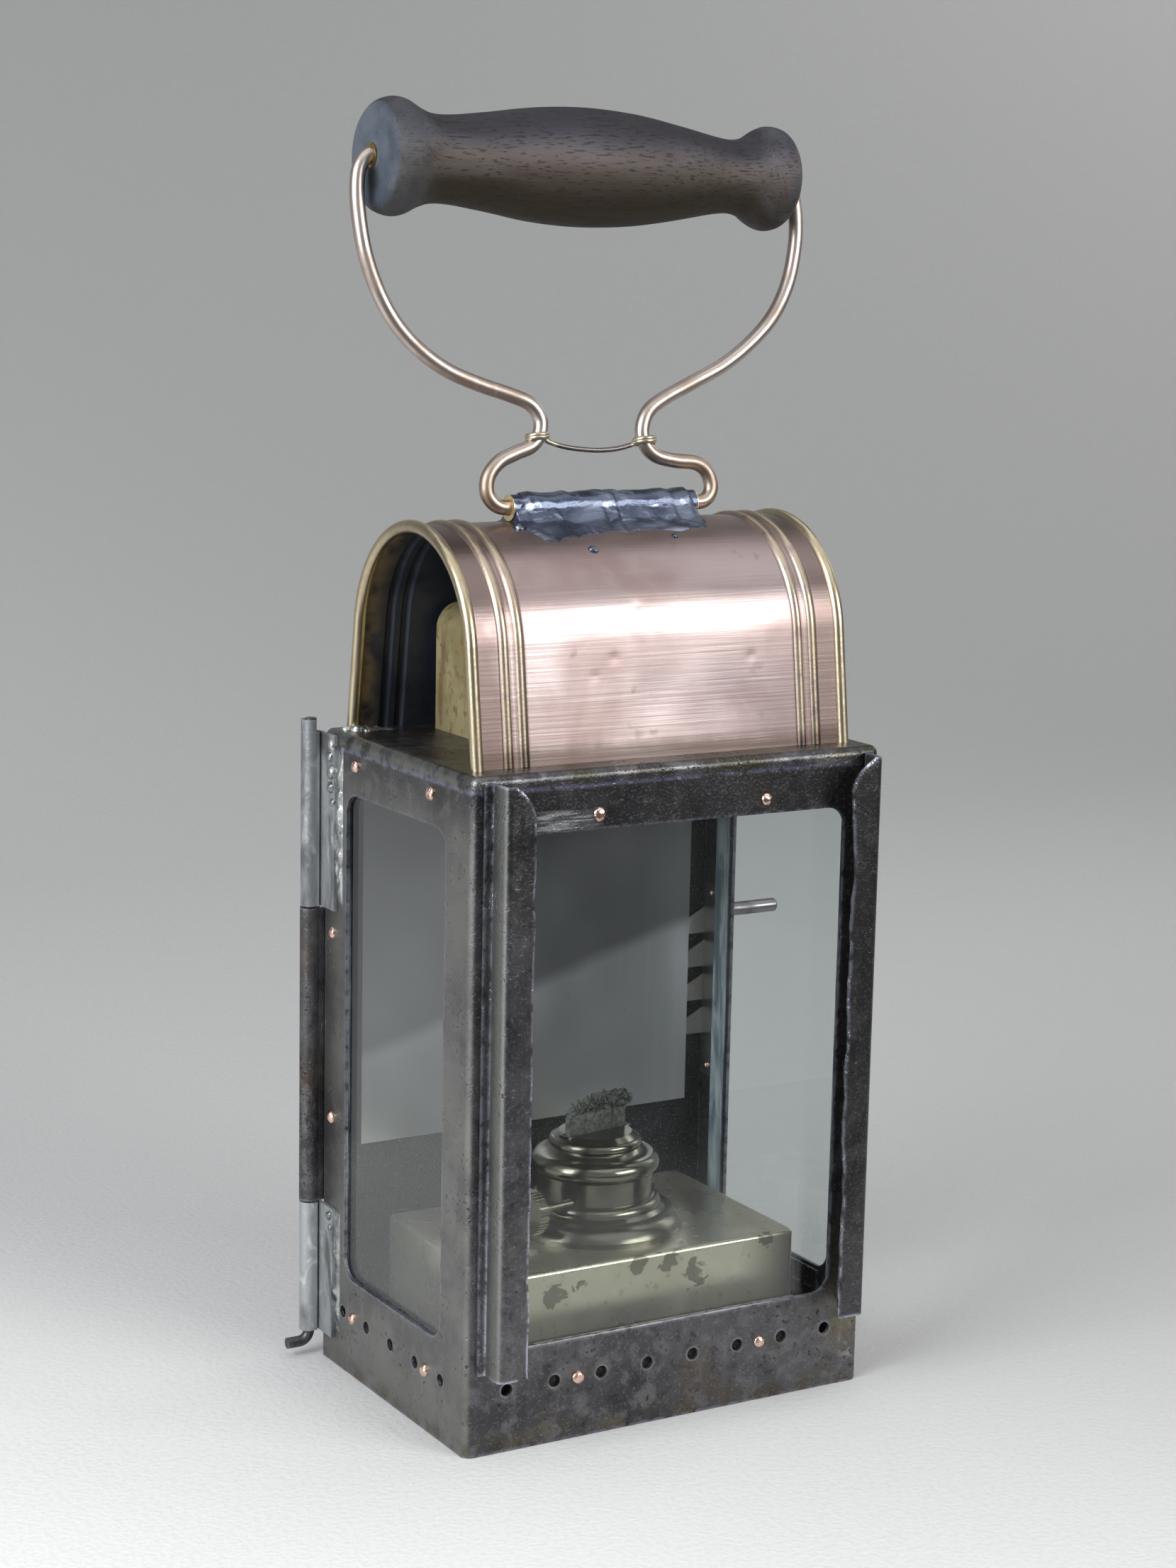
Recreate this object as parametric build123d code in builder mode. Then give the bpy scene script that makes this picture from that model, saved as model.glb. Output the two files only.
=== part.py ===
from build123d import *
import os
from math import asin, cos, degrees, radians, sin, sqrt, tan

# Body: a folded sheet-steel box on Z = 0, front face at -Y, door at +Y, all lengths in mm
body_width = 100.0
body_depth = 68.4
body_height = 144.2
sheet = 0.8
fold_radius = 2.2
roof_edge_radius = 1.8
roof_skirt = 3.4
tray_lip = 5.0
flue_width = 36.0
flue_depth = 30.0
flue_radius = 4.0

# Windows and vent holes
window_bottom = 22.0
window_drop = 12.7
window_radius = 4.5
front_stile = 8.9
side_front_stile = 11.85
side_rear_stile = 10.55
vent_diameter = 2.7
vent_drop = 8.5
front_vent_count = 8
front_vent_pitch = 11.5
side_vent_count = 5
side_vent_pitch = 11.7

# Panes and the clips that hold them
glass_thickness = 1.8
glass_low_lap = 4.4
glass_high_lap = 1.4
front_glass_lap = 4.0
side_glass_front_lap = 1.0
side_glass_rear_lap = 3.0
clip_sheet = 0.5
clip_play = 0.1
clip_short = 0.3
clip_rivet_margin = 2.2
front_clip_length = 66.0
side_clip_length = 43.0

# Rivets
rivet_shank = 1.4
rivet_head = 2.6
rivet_dome = 0.8
rivet_tail = 0.4
low_rivet_drop = 8.7
front_high_rivet_rise = 3.1
side_high_rivet_rise = 6.5
front_low_rivet_spread = 46.0
front_high_rivet_spread = 41.2
side_rivet_spread = 35.0
side_rivet_shift = 1.9

# Combs on the rear stiles: a strip behind the pane's edge, with teeth turned inwards
comb_gap = 0.35
comb_width = 6.4
comb_tooth_count = 4
comb_tooth_pitch = 8.2
comb_tooth_height = 6.6
comb_tip_height = 3.8
comb_tooth_length = 5.4
comb_leaf_gap = 4.0
comb_tooth_raise = 2.0
comb_rivet_spread = 42.2
comb_rivet_margin = 3.6

# Slide channels on the front
channel_sheet = 0.7
channel_inset = 4.0
channel_depth = 7.0
channel_flange = 7.6
channel_foot = 1.6
channel_bottom = 18.0
channel_drop = 1.2
channel_bend_radius = 1.3
channel_corner_radius = 6.8

# Rear hinge
hinge_out = 2.6
hinge_back = 2.2
barrel_radius = 2.3
pin_radius = 1.25
running_clearance = 0.06
strap_sheet = 0.8
strap_reach = 6.0
hinge_bottom = 6.0
hinge_drop = 0.8
low_leaf_length = 30.2
high_leaf_length = 39.0
knuckle_gap = 0.4
pin_stand = 3.0
pin_foot_height = 3.2
pin_foot_length = 5.4
pin_foot_radius = 2.4

# Rear door, its reflector and its stud
door_gap = 0.3
door_side_gap = 1.2
door_bottom = 2.0
door_drop = 1.2
door_flange = 10.4
door_hinge_clearance = 0.6
reflector_sheet = 0.5
reflector_comb_gap = 1.8
reflector_bottom = 50.0
reflector_drop = 13.0
reflector_stand = 5.2
stud_radius = 1.6
stud_length = 13.5
stud_shank_radius = 0.9
stud_drop = 47.5
stud_inset = 3.2

# Hood: a leaning-sided arch of sheet, open at both ends
hood_sheet = 0.7
hood_inset = 3.5
hood_radius = 26.0
hood_rise = 21.3
hood_lean = 7.5
hood_setback = 2.2
edging_radius = 1.35
bead_radius = 1.15
bead_groove_radius = 0.5
bead_inset = 8.6
bead_pitch = 3.6
baffle_sheet = 0.6
baffle_width = 56.0
baffle_depth = 45.0
baffle_height = 27.6
baffle_radius = 5.5

# Crown tube on the ridge and its solder saddle
wire_radius = 1.6
tube_radius = 2.8
tube_length = 46.0
solder_bed = 0.15
solder_skin = 0.5
solder_wrap = 0.25
solder_half_depth = 11.0
solder_end_inset = 2.5

# Bail, seen square on: the elbow's height is above the tube's axis, each rise above the last bend
bail_lean = 8.5
bail_end_gap = 4.0
bail_foot_clearance = 0.8
bail_foot_radius = 4.4
bail_elbow_height = 9.2
bail_elbow_radius = 4.2
neck_spread = 24.8
neck_low_rise = 2.1
neck_low_radius = 2.6
neck_rise = 10.7
neck_high_radius = 4.5
shoulder_spread = 78.0
shoulder_rise = 9.2
shoulder_radius = 20.0
flank_spread = 102.0
flank_rise = 12.8
flank_radius = 18.0
bail_top_spread = 108.4
bail_top_rise = 16.0
bail_top_radius = 30.0
grip_rise = 12.1
grip_tilt = 1.3
grip_bend_radius = 3.4
tie_radius = 0.6
tie_span_radius = 0.5
tie_rise = 2.95
tie_sag = 2.6
tie_play = 0.03

# Grip, turned by hand and a little thicker at its left end, and its brass liner
grip_end_clearance = 0.5
grip_end_radius = 10.0
grip_left_knob_radius = 12.2
grip_right_knob_radius = 11.4
grip_knob_inset = 4.0
grip_left_neck_radius = 9.0
grip_right_neck_radius = 8.0
grip_neck_inset = 13.0
grip_swell_radius = 12.6
liner_radius = 2.5
liner_stand = 0.4

# Oil font
font_width = 75.0
font_depth = 49.8
font_top = 34.3
font_sheet = 0.6
font_corner_radius = 1.6
font_edge_radius = 0.9

# Burner, on the font's middle: each height is above the font's top
burner_turn = 9.0
collar_radius = 10.9
collar_bore = 9.9
collar_flange_radius = 12.4
collar_flange_height = 0.8
collar_top = 3.0
collar_depth = 3.0
burner_wall = 0.7
burner_rim_radius = 19.8
burner_rim_height = 1.2
burner_bell_radius = 15.8
burner_bell_height = 4.4
burner_bead_radius = 14.8
burner_bead_height = 7.2
burner_neck_radius = 12.9
burner_neck_height = 12.4
cap_ring_radius = 14.4
cap_ring_height = 4.4
cap_throat_radius = 10.6
cap_throat_height = 5.8
cap_crown_radius = 10.2
cap_crown_height = 8.0
cap_top_height = 9.0

# Wick, its tube and the drive that feeds it
wick_width = 16.6
wick_thickness = 2.0
wick_play = 0.3
wick_bottom = 10.0
wick_stand = 7.6
wick_tube_wall = 0.4
wick_tube_depth = 6.0
wheel_radius = 4.2
wheel_tooth = 0.7
wheel_teeth = 14
wheel_thickness = 1.6
wheel_spread = 8.0
wheel_window_margin = 0.5
spindle_radius = 1.0
spindle_height = 7.9
spindle_stand = 0.6
knob_radius = 4.9
knob_thickness = 2.4
knob_distance = 23.4
knurl_count = 36
knurl_radius = 0.25

# Places worked out from the sizes above
half_width = body_width / 2
half_depth = body_depth / 2
wall_height = body_height - roof_skirt
window_top = body_height - window_drop
window_middle = (window_bottom + window_top) / 2
window_height = window_top - window_bottom
front_window_width = body_width - 2 * front_stile
side_window_depth = body_depth - side_front_stile - side_rear_stile
side_window_shift = (side_front_stile - side_rear_stile) / 2
vent_height = window_bottom - vent_drop
low_rivet_height = window_bottom - low_rivet_drop
front_high_rivet_height = window_top + front_high_rivet_rise
side_high_rivet_height = window_top + side_high_rivet_rise
inner_x = half_width - sheet
inner_front = -half_depth + sheet
glass_bottom = window_bottom - glass_low_lap
glass_top = window_top + glass_high_lap
glass_height = glass_top - glass_bottom
window_rear = side_window_shift + side_window_depth / 2
side_glass_depth = side_window_depth + side_glass_front_lap + side_glass_rear_lap
side_glass_middle = side_window_shift + (side_glass_rear_lap - side_glass_front_lap) / 2
clip_seat = glass_thickness + clip_play
comb_front = window_rear + side_glass_rear_lap + comb_gap
comb_rivet_y = comb_front + comb_rivet_margin
channel_top = body_height - channel_drop
hinge_top = body_height - hinge_drop
comb_rivet_top = hinge_top - high_leaf_length - comb_leaf_gap - rivet_head / 2
comb_middle = comb_rivet_top - comb_rivet_spread / 2
comb_rivets = [comb_rivet_top - comb_rivet_spread, comb_rivet_top]
door_knuckle_bottom = hinge_bottom + low_leaf_length + knuckle_gap
door_knuckle_top = hinge_top - high_leaf_length - knuckle_gap
door_top = body_height - door_drop
reflector_top = door_top - reflector_drop
stud_height = door_top - stud_drop
hinge_x = -half_width - hinge_out
hinge_y = half_depth + hinge_back
door_front = half_depth + door_gap
door_back = door_front + sheet
door_left = -half_width + door_hinge_clearance
door_right = half_width + door_side_gap + sheet
hood_center = body_height + hood_rise
lean = radians(hood_lean)
tube_height = hood_center + hood_radius + solder_bed + tube_radius
bail_foot_spread = tube_length + 2 * (bail_foot_radius + bail_foot_clearance)
neck_low_height = bail_elbow_height + neck_low_rise
neck_high_height = neck_low_height + neck_rise
shoulder_height = neck_high_height + shoulder_rise
flank_height = shoulder_height + flank_rise
bail_top_height = flank_height + bail_top_rise
grip_height = bail_top_height + grip_rise
tie_height = neck_low_height + tie_rise
grip_length = bail_top_spread - 2 * (grip_bend_radius + grip_end_clearance)
neck_base = font_top + burner_bead_height
cap_base = font_top + burner_neck_height
cap_top = cap_base + cap_top_height
wick_tube_width = wick_width + 2 * (wick_play + wick_tube_wall)
wick_tube_thickness = wick_thickness + 2 * (wick_play + wick_tube_wall)
spindle_offset = wheel_radius + wick_thickness / 2 + wick_play
spindle_z = font_top + spindle_height

front_plane = Plane.XZ.offset(half_depth)
left_plane = Plane(origin=(-half_width, 0, 0), x_dir=(0, -1, 0), z_dir=(-1, 0, 0))
right_plane = Plane(origin=(half_width, 0, 0), x_dir=(0, 1, 0), z_dir=(1, 0, 0))
bail_up = Vector(0, sin(radians(bail_lean)), cos(radians(bail_lean)))
bail_plane = Plane(
    origin=(0, hood_setback, tube_height),
    x_dir=(1, 0, 0),
    z_dir=Vector(1, 0, 0).cross(bail_up),
)
grip_plane = Plane(
    origin=bail_plane.origin + bail_up * grip_height,
    x_dir=Vector(1, 0, 0) * cos(radians(grip_tilt)) - bail_up * sin(radians(grip_tilt)),
    z_dir=bail_plane.z_dir,
)
wick_along = Vector(cos(radians(burner_turn)), sin(radians(burner_turn)), 0)
wick_across = Vector(-wick_along.Y, wick_along.X, 0)
burner_plan = Plane(origin=(0, 0, font_top), x_dir=wick_along, z_dir=(0, 0, 1))
spindle_plane = Plane(
    origin=wick_across * -spindle_offset + Vector(0, 0, spindle_z),
    x_dir=wick_across,
    z_dir=wick_along,
)

os.makedirs("parts", exist_ok=True)


def write(piece, name):
    piece.part.label = name
    export_step(piece.part, f"parts/{name}.step")


def row(count, pitch, middle=0.0):
    return [middle + (i - (count - 1) / 2) * pitch for i in range(count)]


def pair(spread, middle=0.0):
    return [middle - spread / 2, middle + spread / 2]


front_vents = [(x, vent_height) for x in row(front_vent_count, front_vent_pitch)]
side_vents = [(y, vent_height) for y in row(side_vent_count, side_vent_pitch, side_window_shift)]
front_rivets = [(x, low_rivet_height) for x in pair(front_low_rivet_spread)]
front_rivets += [(x, front_high_rivet_height) for x in pair(front_high_rivet_spread)]
clip_rivets = [
    (y, z)
    for z in (low_rivet_height, side_high_rivet_height)
    for y in pair(side_rivet_spread, side_rivet_shift)
]
side_rivets = clip_rivets + [(comb_rivet_y, z) for z in comb_rivets]

# Body wall: left, front and right walls folded from one sheet
with BuildPart() as body_wall:
    with BuildSketch():
        Rectangle(body_width, body_depth)
        with Locations((0, sheet)):
            Rectangle(2 * inner_x, body_depth, mode=Mode.SUBTRACT)
        fillet(vertices().group_by(Axis.Y)[1], fold_radius - sheet)
        fillet(vertices().group_by(Axis.Y)[0], fold_radius)
    extrude(amount=wall_height)
    with BuildSketch(front_plane):
        with Locations((0, window_middle)):
            RectangleRounded(front_window_width, window_height, window_radius)
        with Locations(*front_vents):
            Circle(vent_diameter / 2)
        with Locations(*front_rivets):
            Circle(rivet_shank / 2)
    extrude(amount=-2 * sheet, mode=Mode.SUBTRACT)
    with BuildSketch(Plane.YZ):
        with Locations((side_window_shift, window_middle)):
            RectangleRounded(side_window_depth, window_height, window_radius)
        with Locations(*side_vents):
            Circle(vent_diameter / 2)
        with Locations(*side_rivets):
            Circle(rivet_shank / 2)
    extrude(amount=body_width, both=True, mode=Mode.SUBTRACT)
write(body_wall, "body_wall")

# Roof cap: a shallow tray turned over, with a flue opening under the hood
with BuildPart() as roof_cap:
    with BuildSketch(Plane.XY.offset(wall_height)):
        Rectangle(body_width, body_depth)
        fillet(vertices().group_by(Axis.Y)[0], fold_radius)
    extrude(amount=roof_skirt)
    fillet(faces().sort_by(Axis.Z)[-1].edges().sort_by(Axis.Y)[:-1], roof_edge_radius)
    offset(amount=-sheet, openings=faces().sort_by(Axis.Z)[0])
    with BuildSketch(Plane.XY.offset(body_height)):
        with Locations((0, hood_setback)):
            RectangleRounded(flue_width, flue_depth, flue_radius)
    extrude(amount=-2 * sheet, mode=Mode.SUBTRACT)
write(roof_cap, "roof_cap")

# Base tray inside the foot of the walls
with BuildPart() as base_tray:
    with BuildSketch():
        with Locations((0, sheet / 2)):
            Rectangle(2 * inner_x, body_depth - sheet)
        fillet(vertices().group_by(Axis.Y)[0], fold_radius - sheet)
    extrude(amount=tray_lip)
    offset(amount=-sheet, openings=faces().sort_by(Axis.Z)[-1])
write(base_tray, "base_tray")

# Window panes lie against the inside of the walls
with BuildPart() as front_glass:
    with BuildSketch(Plane.XZ.offset(-inner_front)):
        with Locations((0, (glass_bottom + glass_top) / 2)):
            Rectangle(front_window_width + 2 * front_glass_lap, glass_height)
    extrude(amount=-glass_thickness)
write(front_glass, "front_glass")

with BuildPart() as right_glass:
    with BuildSketch(Plane.YZ.offset(inner_x)):
        with Locations((side_glass_middle, (glass_bottom + glass_top) / 2)):
            Rectangle(side_glass_depth, glass_height)
    extrude(amount=-glass_thickness)
write(right_glass, "right_glass")

with BuildPart() as left_glass:
    mirror(right_glass.part, about=Plane.YZ)
write(left_glass, "left_glass")


# Glass clips: joggled strips riveted to the wall, with a lip behind the pane's edge
def clip_profile(seat, lip_end, leg_end):
    step = clip_sheet if leg_end > seat else -clip_sheet
    return [
        (0, leg_end),
        (clip_sheet, leg_end),
        (clip_sheet, seat + step),
        (clip_seat + clip_sheet, seat + step),
        (clip_seat + clip_sheet, lip_end),
        (clip_seat, lip_end),
        (clip_seat, seat),
        (0, seat),
    ]


def glass_clip(name, start, length, profile, spots):
    with BuildPart() as clip:
        with BuildSketch(start):
            with BuildLine():
                Polyline(*profile, close=True)
            make_face()
        extrude(amount=length)
        with Locations(*spots):
            Cylinder(rivet_shank / 2, 4 * clip_sheet, mode=Mode.SUBTRACT)
    write(clip, name)


def inside(wall, spots, depth):
    return [Plane(wall.from_local_coords((u, v, -depth)), wall.x_dir, wall.z_dir) for u, v in spots]


low_clip = clip_profile(glass_bottom, window_bottom - clip_short, low_rivet_height - clip_rivet_margin)
front_high_clip = clip_profile(
    glass_top, window_top + clip_short, front_high_rivet_height + clip_rivet_margin
)
side_high_clip = clip_profile(
    glass_top, window_top + clip_short, side_high_rivet_height + clip_rivet_margin
)
front_clip_start = Plane(
    origin=(-front_clip_length / 2, inner_front, 0), x_dir=(0, 1, 0), z_dir=(1, 0, 0)
)
left_clip_start = Plane(
    origin=(-inner_x, side_window_shift + side_clip_length / 2, 0), x_dir=(1, 0, 0), z_dir=(0, -1, 0)
)
right_clip_start = Plane(
    origin=(inner_x, side_window_shift - side_clip_length / 2, 0), x_dir=(-1, 0, 0), z_dir=(0, 1, 0)
)
left_clip_rivets = [(-y, z) for y, z in clip_rivets]
clip_depth = sheet + clip_sheet / 2
front_clip_spots = inside(front_plane, front_rivets, clip_depth)
left_clip_spots = inside(left_plane, left_clip_rivets, clip_depth)
right_clip_spots = inside(right_plane, clip_rivets, clip_depth)
glass_clip("front_clip_low", front_clip_start, front_clip_length, low_clip, front_clip_spots[:2])
glass_clip("front_clip_high", front_clip_start, front_clip_length, front_high_clip, front_clip_spots[2:])
glass_clip("left_clip_low", left_clip_start, side_clip_length, low_clip, left_clip_spots[:2])
glass_clip("left_clip_high", left_clip_start, side_clip_length, side_high_clip, left_clip_spots[2:])
glass_clip("right_clip_low", right_clip_start, side_clip_length, low_clip, right_clip_spots[:2])
glass_clip("right_clip_high", right_clip_start, side_clip_length, side_high_clip, right_clip_spots[2:])

# Combs: strips on the rear stiles with a row of slanted teeth standing inwards
comb_length = comb_rivet_spread + 2 * clip_rivet_margin
comb_rear = comb_front + comb_width
tooth_tip_x = inner_x - comb_tooth_length
with BuildPart() as right_comb:
    with BuildSketch(Plane.XY.offset(comb_middle - comb_length / 2)):
        with Locations((inner_x - clip_sheet / 2, comb_front + comb_width / 2)):
            Rectangle(clip_sheet, comb_width)
    extrude(amount=comb_length)
    with BuildSketch(Plane.XZ.offset(-comb_rear)):
        for tooth_middle in row(comb_tooth_count, comb_tooth_pitch, comb_middle + comb_tooth_raise):
            tooth_low = tooth_middle - comb_tooth_height / 2
            with BuildLine():
                Polyline(
                    (inner_x, tooth_low),
                    (inner_x, tooth_low + comb_tooth_height),
                    (tooth_tip_x, tooth_low + comb_tip_height),
                    (tooth_tip_x, tooth_low),
                    close=True,
                )
            make_face()
    extrude(amount=clip_sheet)
    with BuildSketch(Plane.YZ.offset(inner_x)):
        with Locations(*[(comb_rivet_y, z) for z in comb_rivets]):
            Circle(rivet_shank / 2)
    extrude(amount=-2 * clip_sheet, mode=Mode.SUBTRACT)
write(right_comb, "right_comb")

with BuildPart() as left_comb:
    mirror(right_comb.part, about=Plane.YZ)
write(left_comb, "left_comb")

# Rivets: a low dome outside and a shank through wall and strip
dome_radius = ((rivet_head / 2) ** 2 + rivet_dome**2) / (2 * rivet_dome)
dome_angle = degrees(asin((dome_radius - rivet_dome) / dome_radius))
rivet_grip = sheet + clip_sheet + rivet_tail


def rivet_set(name, wall, spots):
    with BuildPart() as rivets:
        with Locations(*inside(wall, spots, 0)):
            Sphere(
                dome_radius,
                arc_size1=dome_angle,
                arc_size2=90,
                align=(Align.CENTER, Align.CENTER, Align.MIN),
            )
            Cylinder(rivet_shank / 2, rivet_grip, align=(Align.CENTER, Align.CENTER, Align.MAX))
    write(rivets, name)


rivet_set("front_rivets", front_plane, front_rivets)
rivet_set("left_rivets", left_plane, [(-y, z) for y, z in side_rivets])
rivet_set("right_rivets", right_plane, side_rivets)

# Slide channels: foot on the face, web standing off it, flange turned towards the window
channel_x = half_width - channel_inset
flange_y = -half_depth - channel_depth
with BuildPart() as left_channel:
    with BuildSketch(Plane.XY.offset(channel_bottom)):
        with BuildLine():
            Polyline(
                (-channel_x - channel_foot, -half_depth),
                (-channel_x + channel_sheet, -half_depth),
                (-channel_x + channel_sheet, flange_y + channel_sheet),
                (-channel_x + channel_flange, flange_y + channel_sheet),
                (-channel_x + channel_flange, flange_y),
                (-channel_x, flange_y),
                (-channel_x, -half_depth - channel_sheet),
                (-channel_x - channel_foot, -half_depth - channel_sheet),
                close=True,
            )
        make_face()
        outer_bend = vertices().group_by(Axis.Y)[0].sort_by(Axis.X)[0]
        inner_bend = vertices().group_by(Axis.Y)[1].sort_by(Axis.X)[0]
        fillet(outer_bend, channel_bend_radius)
        fillet(inner_bend, channel_bend_radius - channel_sheet)
    extrude(amount=channel_top - channel_bottom)
    fillet(
        edges().filter_by(Axis.Y).group_by(Axis.Z)[-1].sort_by(Axis.X)[-1],
        channel_corner_radius,
    )
write(left_channel, "left_channel")

with BuildPart() as right_channel:
    mirror(left_channel.part, about=Plane.YZ)
write(right_channel, "right_channel")


# Fixed hinge leaves: a rolled knuckle and a strap soldered to the left wall
def hinge_leaf(name, bottom, top):
    strap_length = strap_reach + hinge_back
    with BuildPart() as leaf:
        with BuildSketch(Plane.XY.offset(bottom)):
            with Locations((hinge_x, hinge_y)):
                Circle(barrel_radius)
            with Locations((-half_width - strap_sheet / 2, hinge_y - strap_length / 2)):
                Rectangle(strap_sheet, strap_length)
            with Locations((hinge_x, hinge_y)):
                Circle(pin_radius + running_clearance, mode=Mode.SUBTRACT)
        extrude(amount=top - bottom)
    write(leaf, name)


hinge_leaf("hinge_leaf_low", hinge_bottom, door_knuckle_bottom - knuckle_gap)
hinge_leaf("hinge_leaf_high", door_knuckle_top + knuckle_gap, hinge_top)

# Hinge pin with its foot bent outwards
with BuildPart() as hinge_pin:
    with BuildLine() as pin_path:
        FilletPolyline(
            (hinge_x, hinge_y, hinge_top + pin_stand),
            (hinge_x, hinge_y, pin_foot_height),
            (hinge_x - pin_foot_length, hinge_y, pin_foot_height),
            radius=pin_foot_radius,
        )
    with BuildSketch(Plane(origin=pin_path.line @ 0, z_dir=pin_path.line % 0)):
        Circle(pin_radius)
    sweep()
write(hinge_pin, "hinge_pin")

# Rear door: a panel with a side flange and the middle knuckle
flange_x = door_right - sheet / 2
stud_y = half_depth - door_flange + stud_inset
with BuildPart() as rear_door:
    with BuildSketch(Plane.XY.offset(door_bottom)):
        with Locations(((door_left + door_right) / 2, (door_front + door_back) / 2)):
            Rectangle(door_right - door_left, sheet)
        with Locations((flange_x, door_back - (door_flange + door_gap + sheet) / 2)):
            Rectangle(sheet, door_flange + door_gap + sheet)
        fillet(vertices().group_by(Axis.Y)[-1].sort_by(Axis.X)[-1], sheet)
    extrude(amount=door_top - door_bottom)
    with BuildSketch(Plane.XY.offset(door_knuckle_bottom)):
        with Locations((hinge_x, hinge_y)):
            Circle(barrel_radius)
        with Locations(((hinge_x + door_left + sheet) / 2, (door_front + door_back) / 2)):
            Rectangle(door_left + sheet - hinge_x, sheet)
        with Locations((hinge_x, hinge_y)):
            Circle(pin_radius + running_clearance, mode=Mode.SUBTRACT)
    extrude(amount=door_knuckle_top - door_knuckle_bottom)
    with BuildSketch(Plane.YZ.offset(door_right)):
        with Locations((stud_y, stud_height)):
            Circle(stud_shank_radius)
    extrude(amount=-2 * sheet, mode=Mode.SUBTRACT)
write(rear_door, "rear_door")

with BuildPart() as door_stud:
    with BuildSketch(Plane.YZ.offset(door_right)):
        with Locations((stud_y, stud_height)):
            Circle(stud_radius)
    extrude(amount=stud_length)
    fillet(edges().group_by(Axis.X)[-1], stud_radius / 3)
    with BuildSketch(Plane.YZ.offset(door_right)):
        with Locations((stud_y, stud_height)):
            Circle(stud_shank_radius)
    extrude(amount=-sheet)
write(door_stud, "door_stud")

# Reflector: a bright sheet whose turned sides stand on the door
reflector_x = tooth_tip_x - reflector_comb_gap
reflector_width = 2 * reflector_x
reflector_y = door_front - reflector_stand
with BuildPart() as reflector:
    with BuildSketch(Plane.XY.offset(reflector_bottom)):
        with Locations((0, (reflector_y + door_front) / 2)):
            Rectangle(reflector_width, reflector_stand)
        with Locations((0, (reflector_y + door_front) / 2 + reflector_sheet)):
            Rectangle(reflector_width - 2 * reflector_sheet, reflector_stand, mode=Mode.SUBTRACT)
    extrude(amount=reflector_top - reflector_bottom)
write(reflector, "reflector")


# Hood arch: two leaning sides, tangent to the round top, grown outwards by a skin
def arch_ends(grow, bottom):
    radius = hood_radius + grow
    turn = (radius * cos(lean), hood_center + radius * sin(lean))
    foot = (turn[0] + (turn[1] - bottom) * tan(lean), bottom)
    return foot, turn, hood_center + radius


def draw_arch(grow, bottom):
    foot, turn, top = arch_ends(grow, bottom)
    Line((hood_setback - foot[0], foot[1]), (hood_setback - turn[0], turn[1]))
    ThreePointArc(
        (hood_setback - turn[0], turn[1]), (hood_setback, top), (hood_setback + turn[0], turn[1])
    )
    Line((hood_setback + turn[0], turn[1]), (hood_setback + foot[0], foot[1]))


hood_length = body_width - 2 * hood_inset
hood_sheet_length = hood_length - 2 * edging_radius
bead_start = hood_length / 2 - bead_inset
bead_places = [side * (bead_start - i * bead_pitch) for side in (-1, 1) for i in range(2)]
sweep_bottom = body_height - 2 * edging_radius
middle_skin = -hood_sheet / 2


def sweep_round(x, radius, mode):
    with BuildLine(Plane.YZ.offset(x)) as path:
        draw_arch(middle_skin, sweep_bottom)
    with BuildSketch(Plane(origin=path.line @ 0, z_dir=path.line % 0)) as section:
        Circle(radius)
    sweep(section.sketch, path=path.line, mode=mode)


with BuildPart() as hood:
    with BuildSketch(Plane.YZ.offset(-hood_sheet_length / 2)):
        with BuildLine():
            draw_arch(0, sweep_bottom)
            Line(
                (hood_setback + arch_ends(0, sweep_bottom)[0][0], sweep_bottom),
                (hood_setback - arch_ends(0, sweep_bottom)[0][0], sweep_bottom),
            )
        make_face()
    extrude(amount=hood_sheet_length)
    for bead_x in bead_places:
        sweep_round(bead_x, bead_radius, Mode.ADD)
    with BuildSketch(Plane.YZ.offset(-hood_length)):
        with BuildLine():
            draw_arch(-hood_sheet, sweep_bottom)
            Line(
                (hood_setback + arch_ends(-hood_sheet, sweep_bottom)[0][0], sweep_bottom),
                (hood_setback - arch_ends(-hood_sheet, sweep_bottom)[0][0], sweep_bottom),
            )
        make_face()
    extrude(amount=2 * hood_length, mode=Mode.SUBTRACT)
    for bead_x in bead_places:
        sweep_round(bead_x, bead_groove_radius, Mode.SUBTRACT)
    split(bisect_by=Plane.XY.offset(body_height), keep=Keep.TOP)
write(hood, "hood")

# Rolled edging closed over each end of the hood sheet
with BuildPart() as right_edging:
    sweep_round(hood_sheet_length / 2, edging_radius, Mode.ADD)
    split(bisect_by=Plane.XY.offset(body_height), keep=Keep.TOP)
    add(hood.part, mode=Mode.SUBTRACT)
write(right_edging, "right_edging")

with BuildPart() as left_edging:
    mirror(right_edging.part, about=Plane.YZ)
write(left_edging, "left_edging")

# Baffle: an inverted U of brass sheet over the flue opening
baffle_y = hood_setback + baffle_depth / 2
baffle_x = (baffle_width - baffle_sheet) / 2
with BuildPart() as baffle:
    with BuildSketch(Plane.XZ.offset(-baffle_y)):
        with BuildLine():
            FilletPolyline(
                (-baffle_x, body_height),
                (-baffle_x, body_height + baffle_height),
                (baffle_x, body_height + baffle_height),
                (baffle_x, body_height),
                radius=baffle_radius,
            )
        trace(line_width=baffle_sheet)
    extrude(amount=baffle_depth)
write(baffle, "baffle")

# Crown tube along the ridge
with BuildPart() as crown_tube:
    with BuildSketch(Plane.YZ.offset(-tube_length / 2)):
        with Locations((hood_setback, tube_height)):
            Circle(tube_radius)
            Circle(wire_radius + running_clearance, mode=Mode.SUBTRACT)
    extrude(amount=tube_length)
write(crown_tube, "crown_tube")

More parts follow.
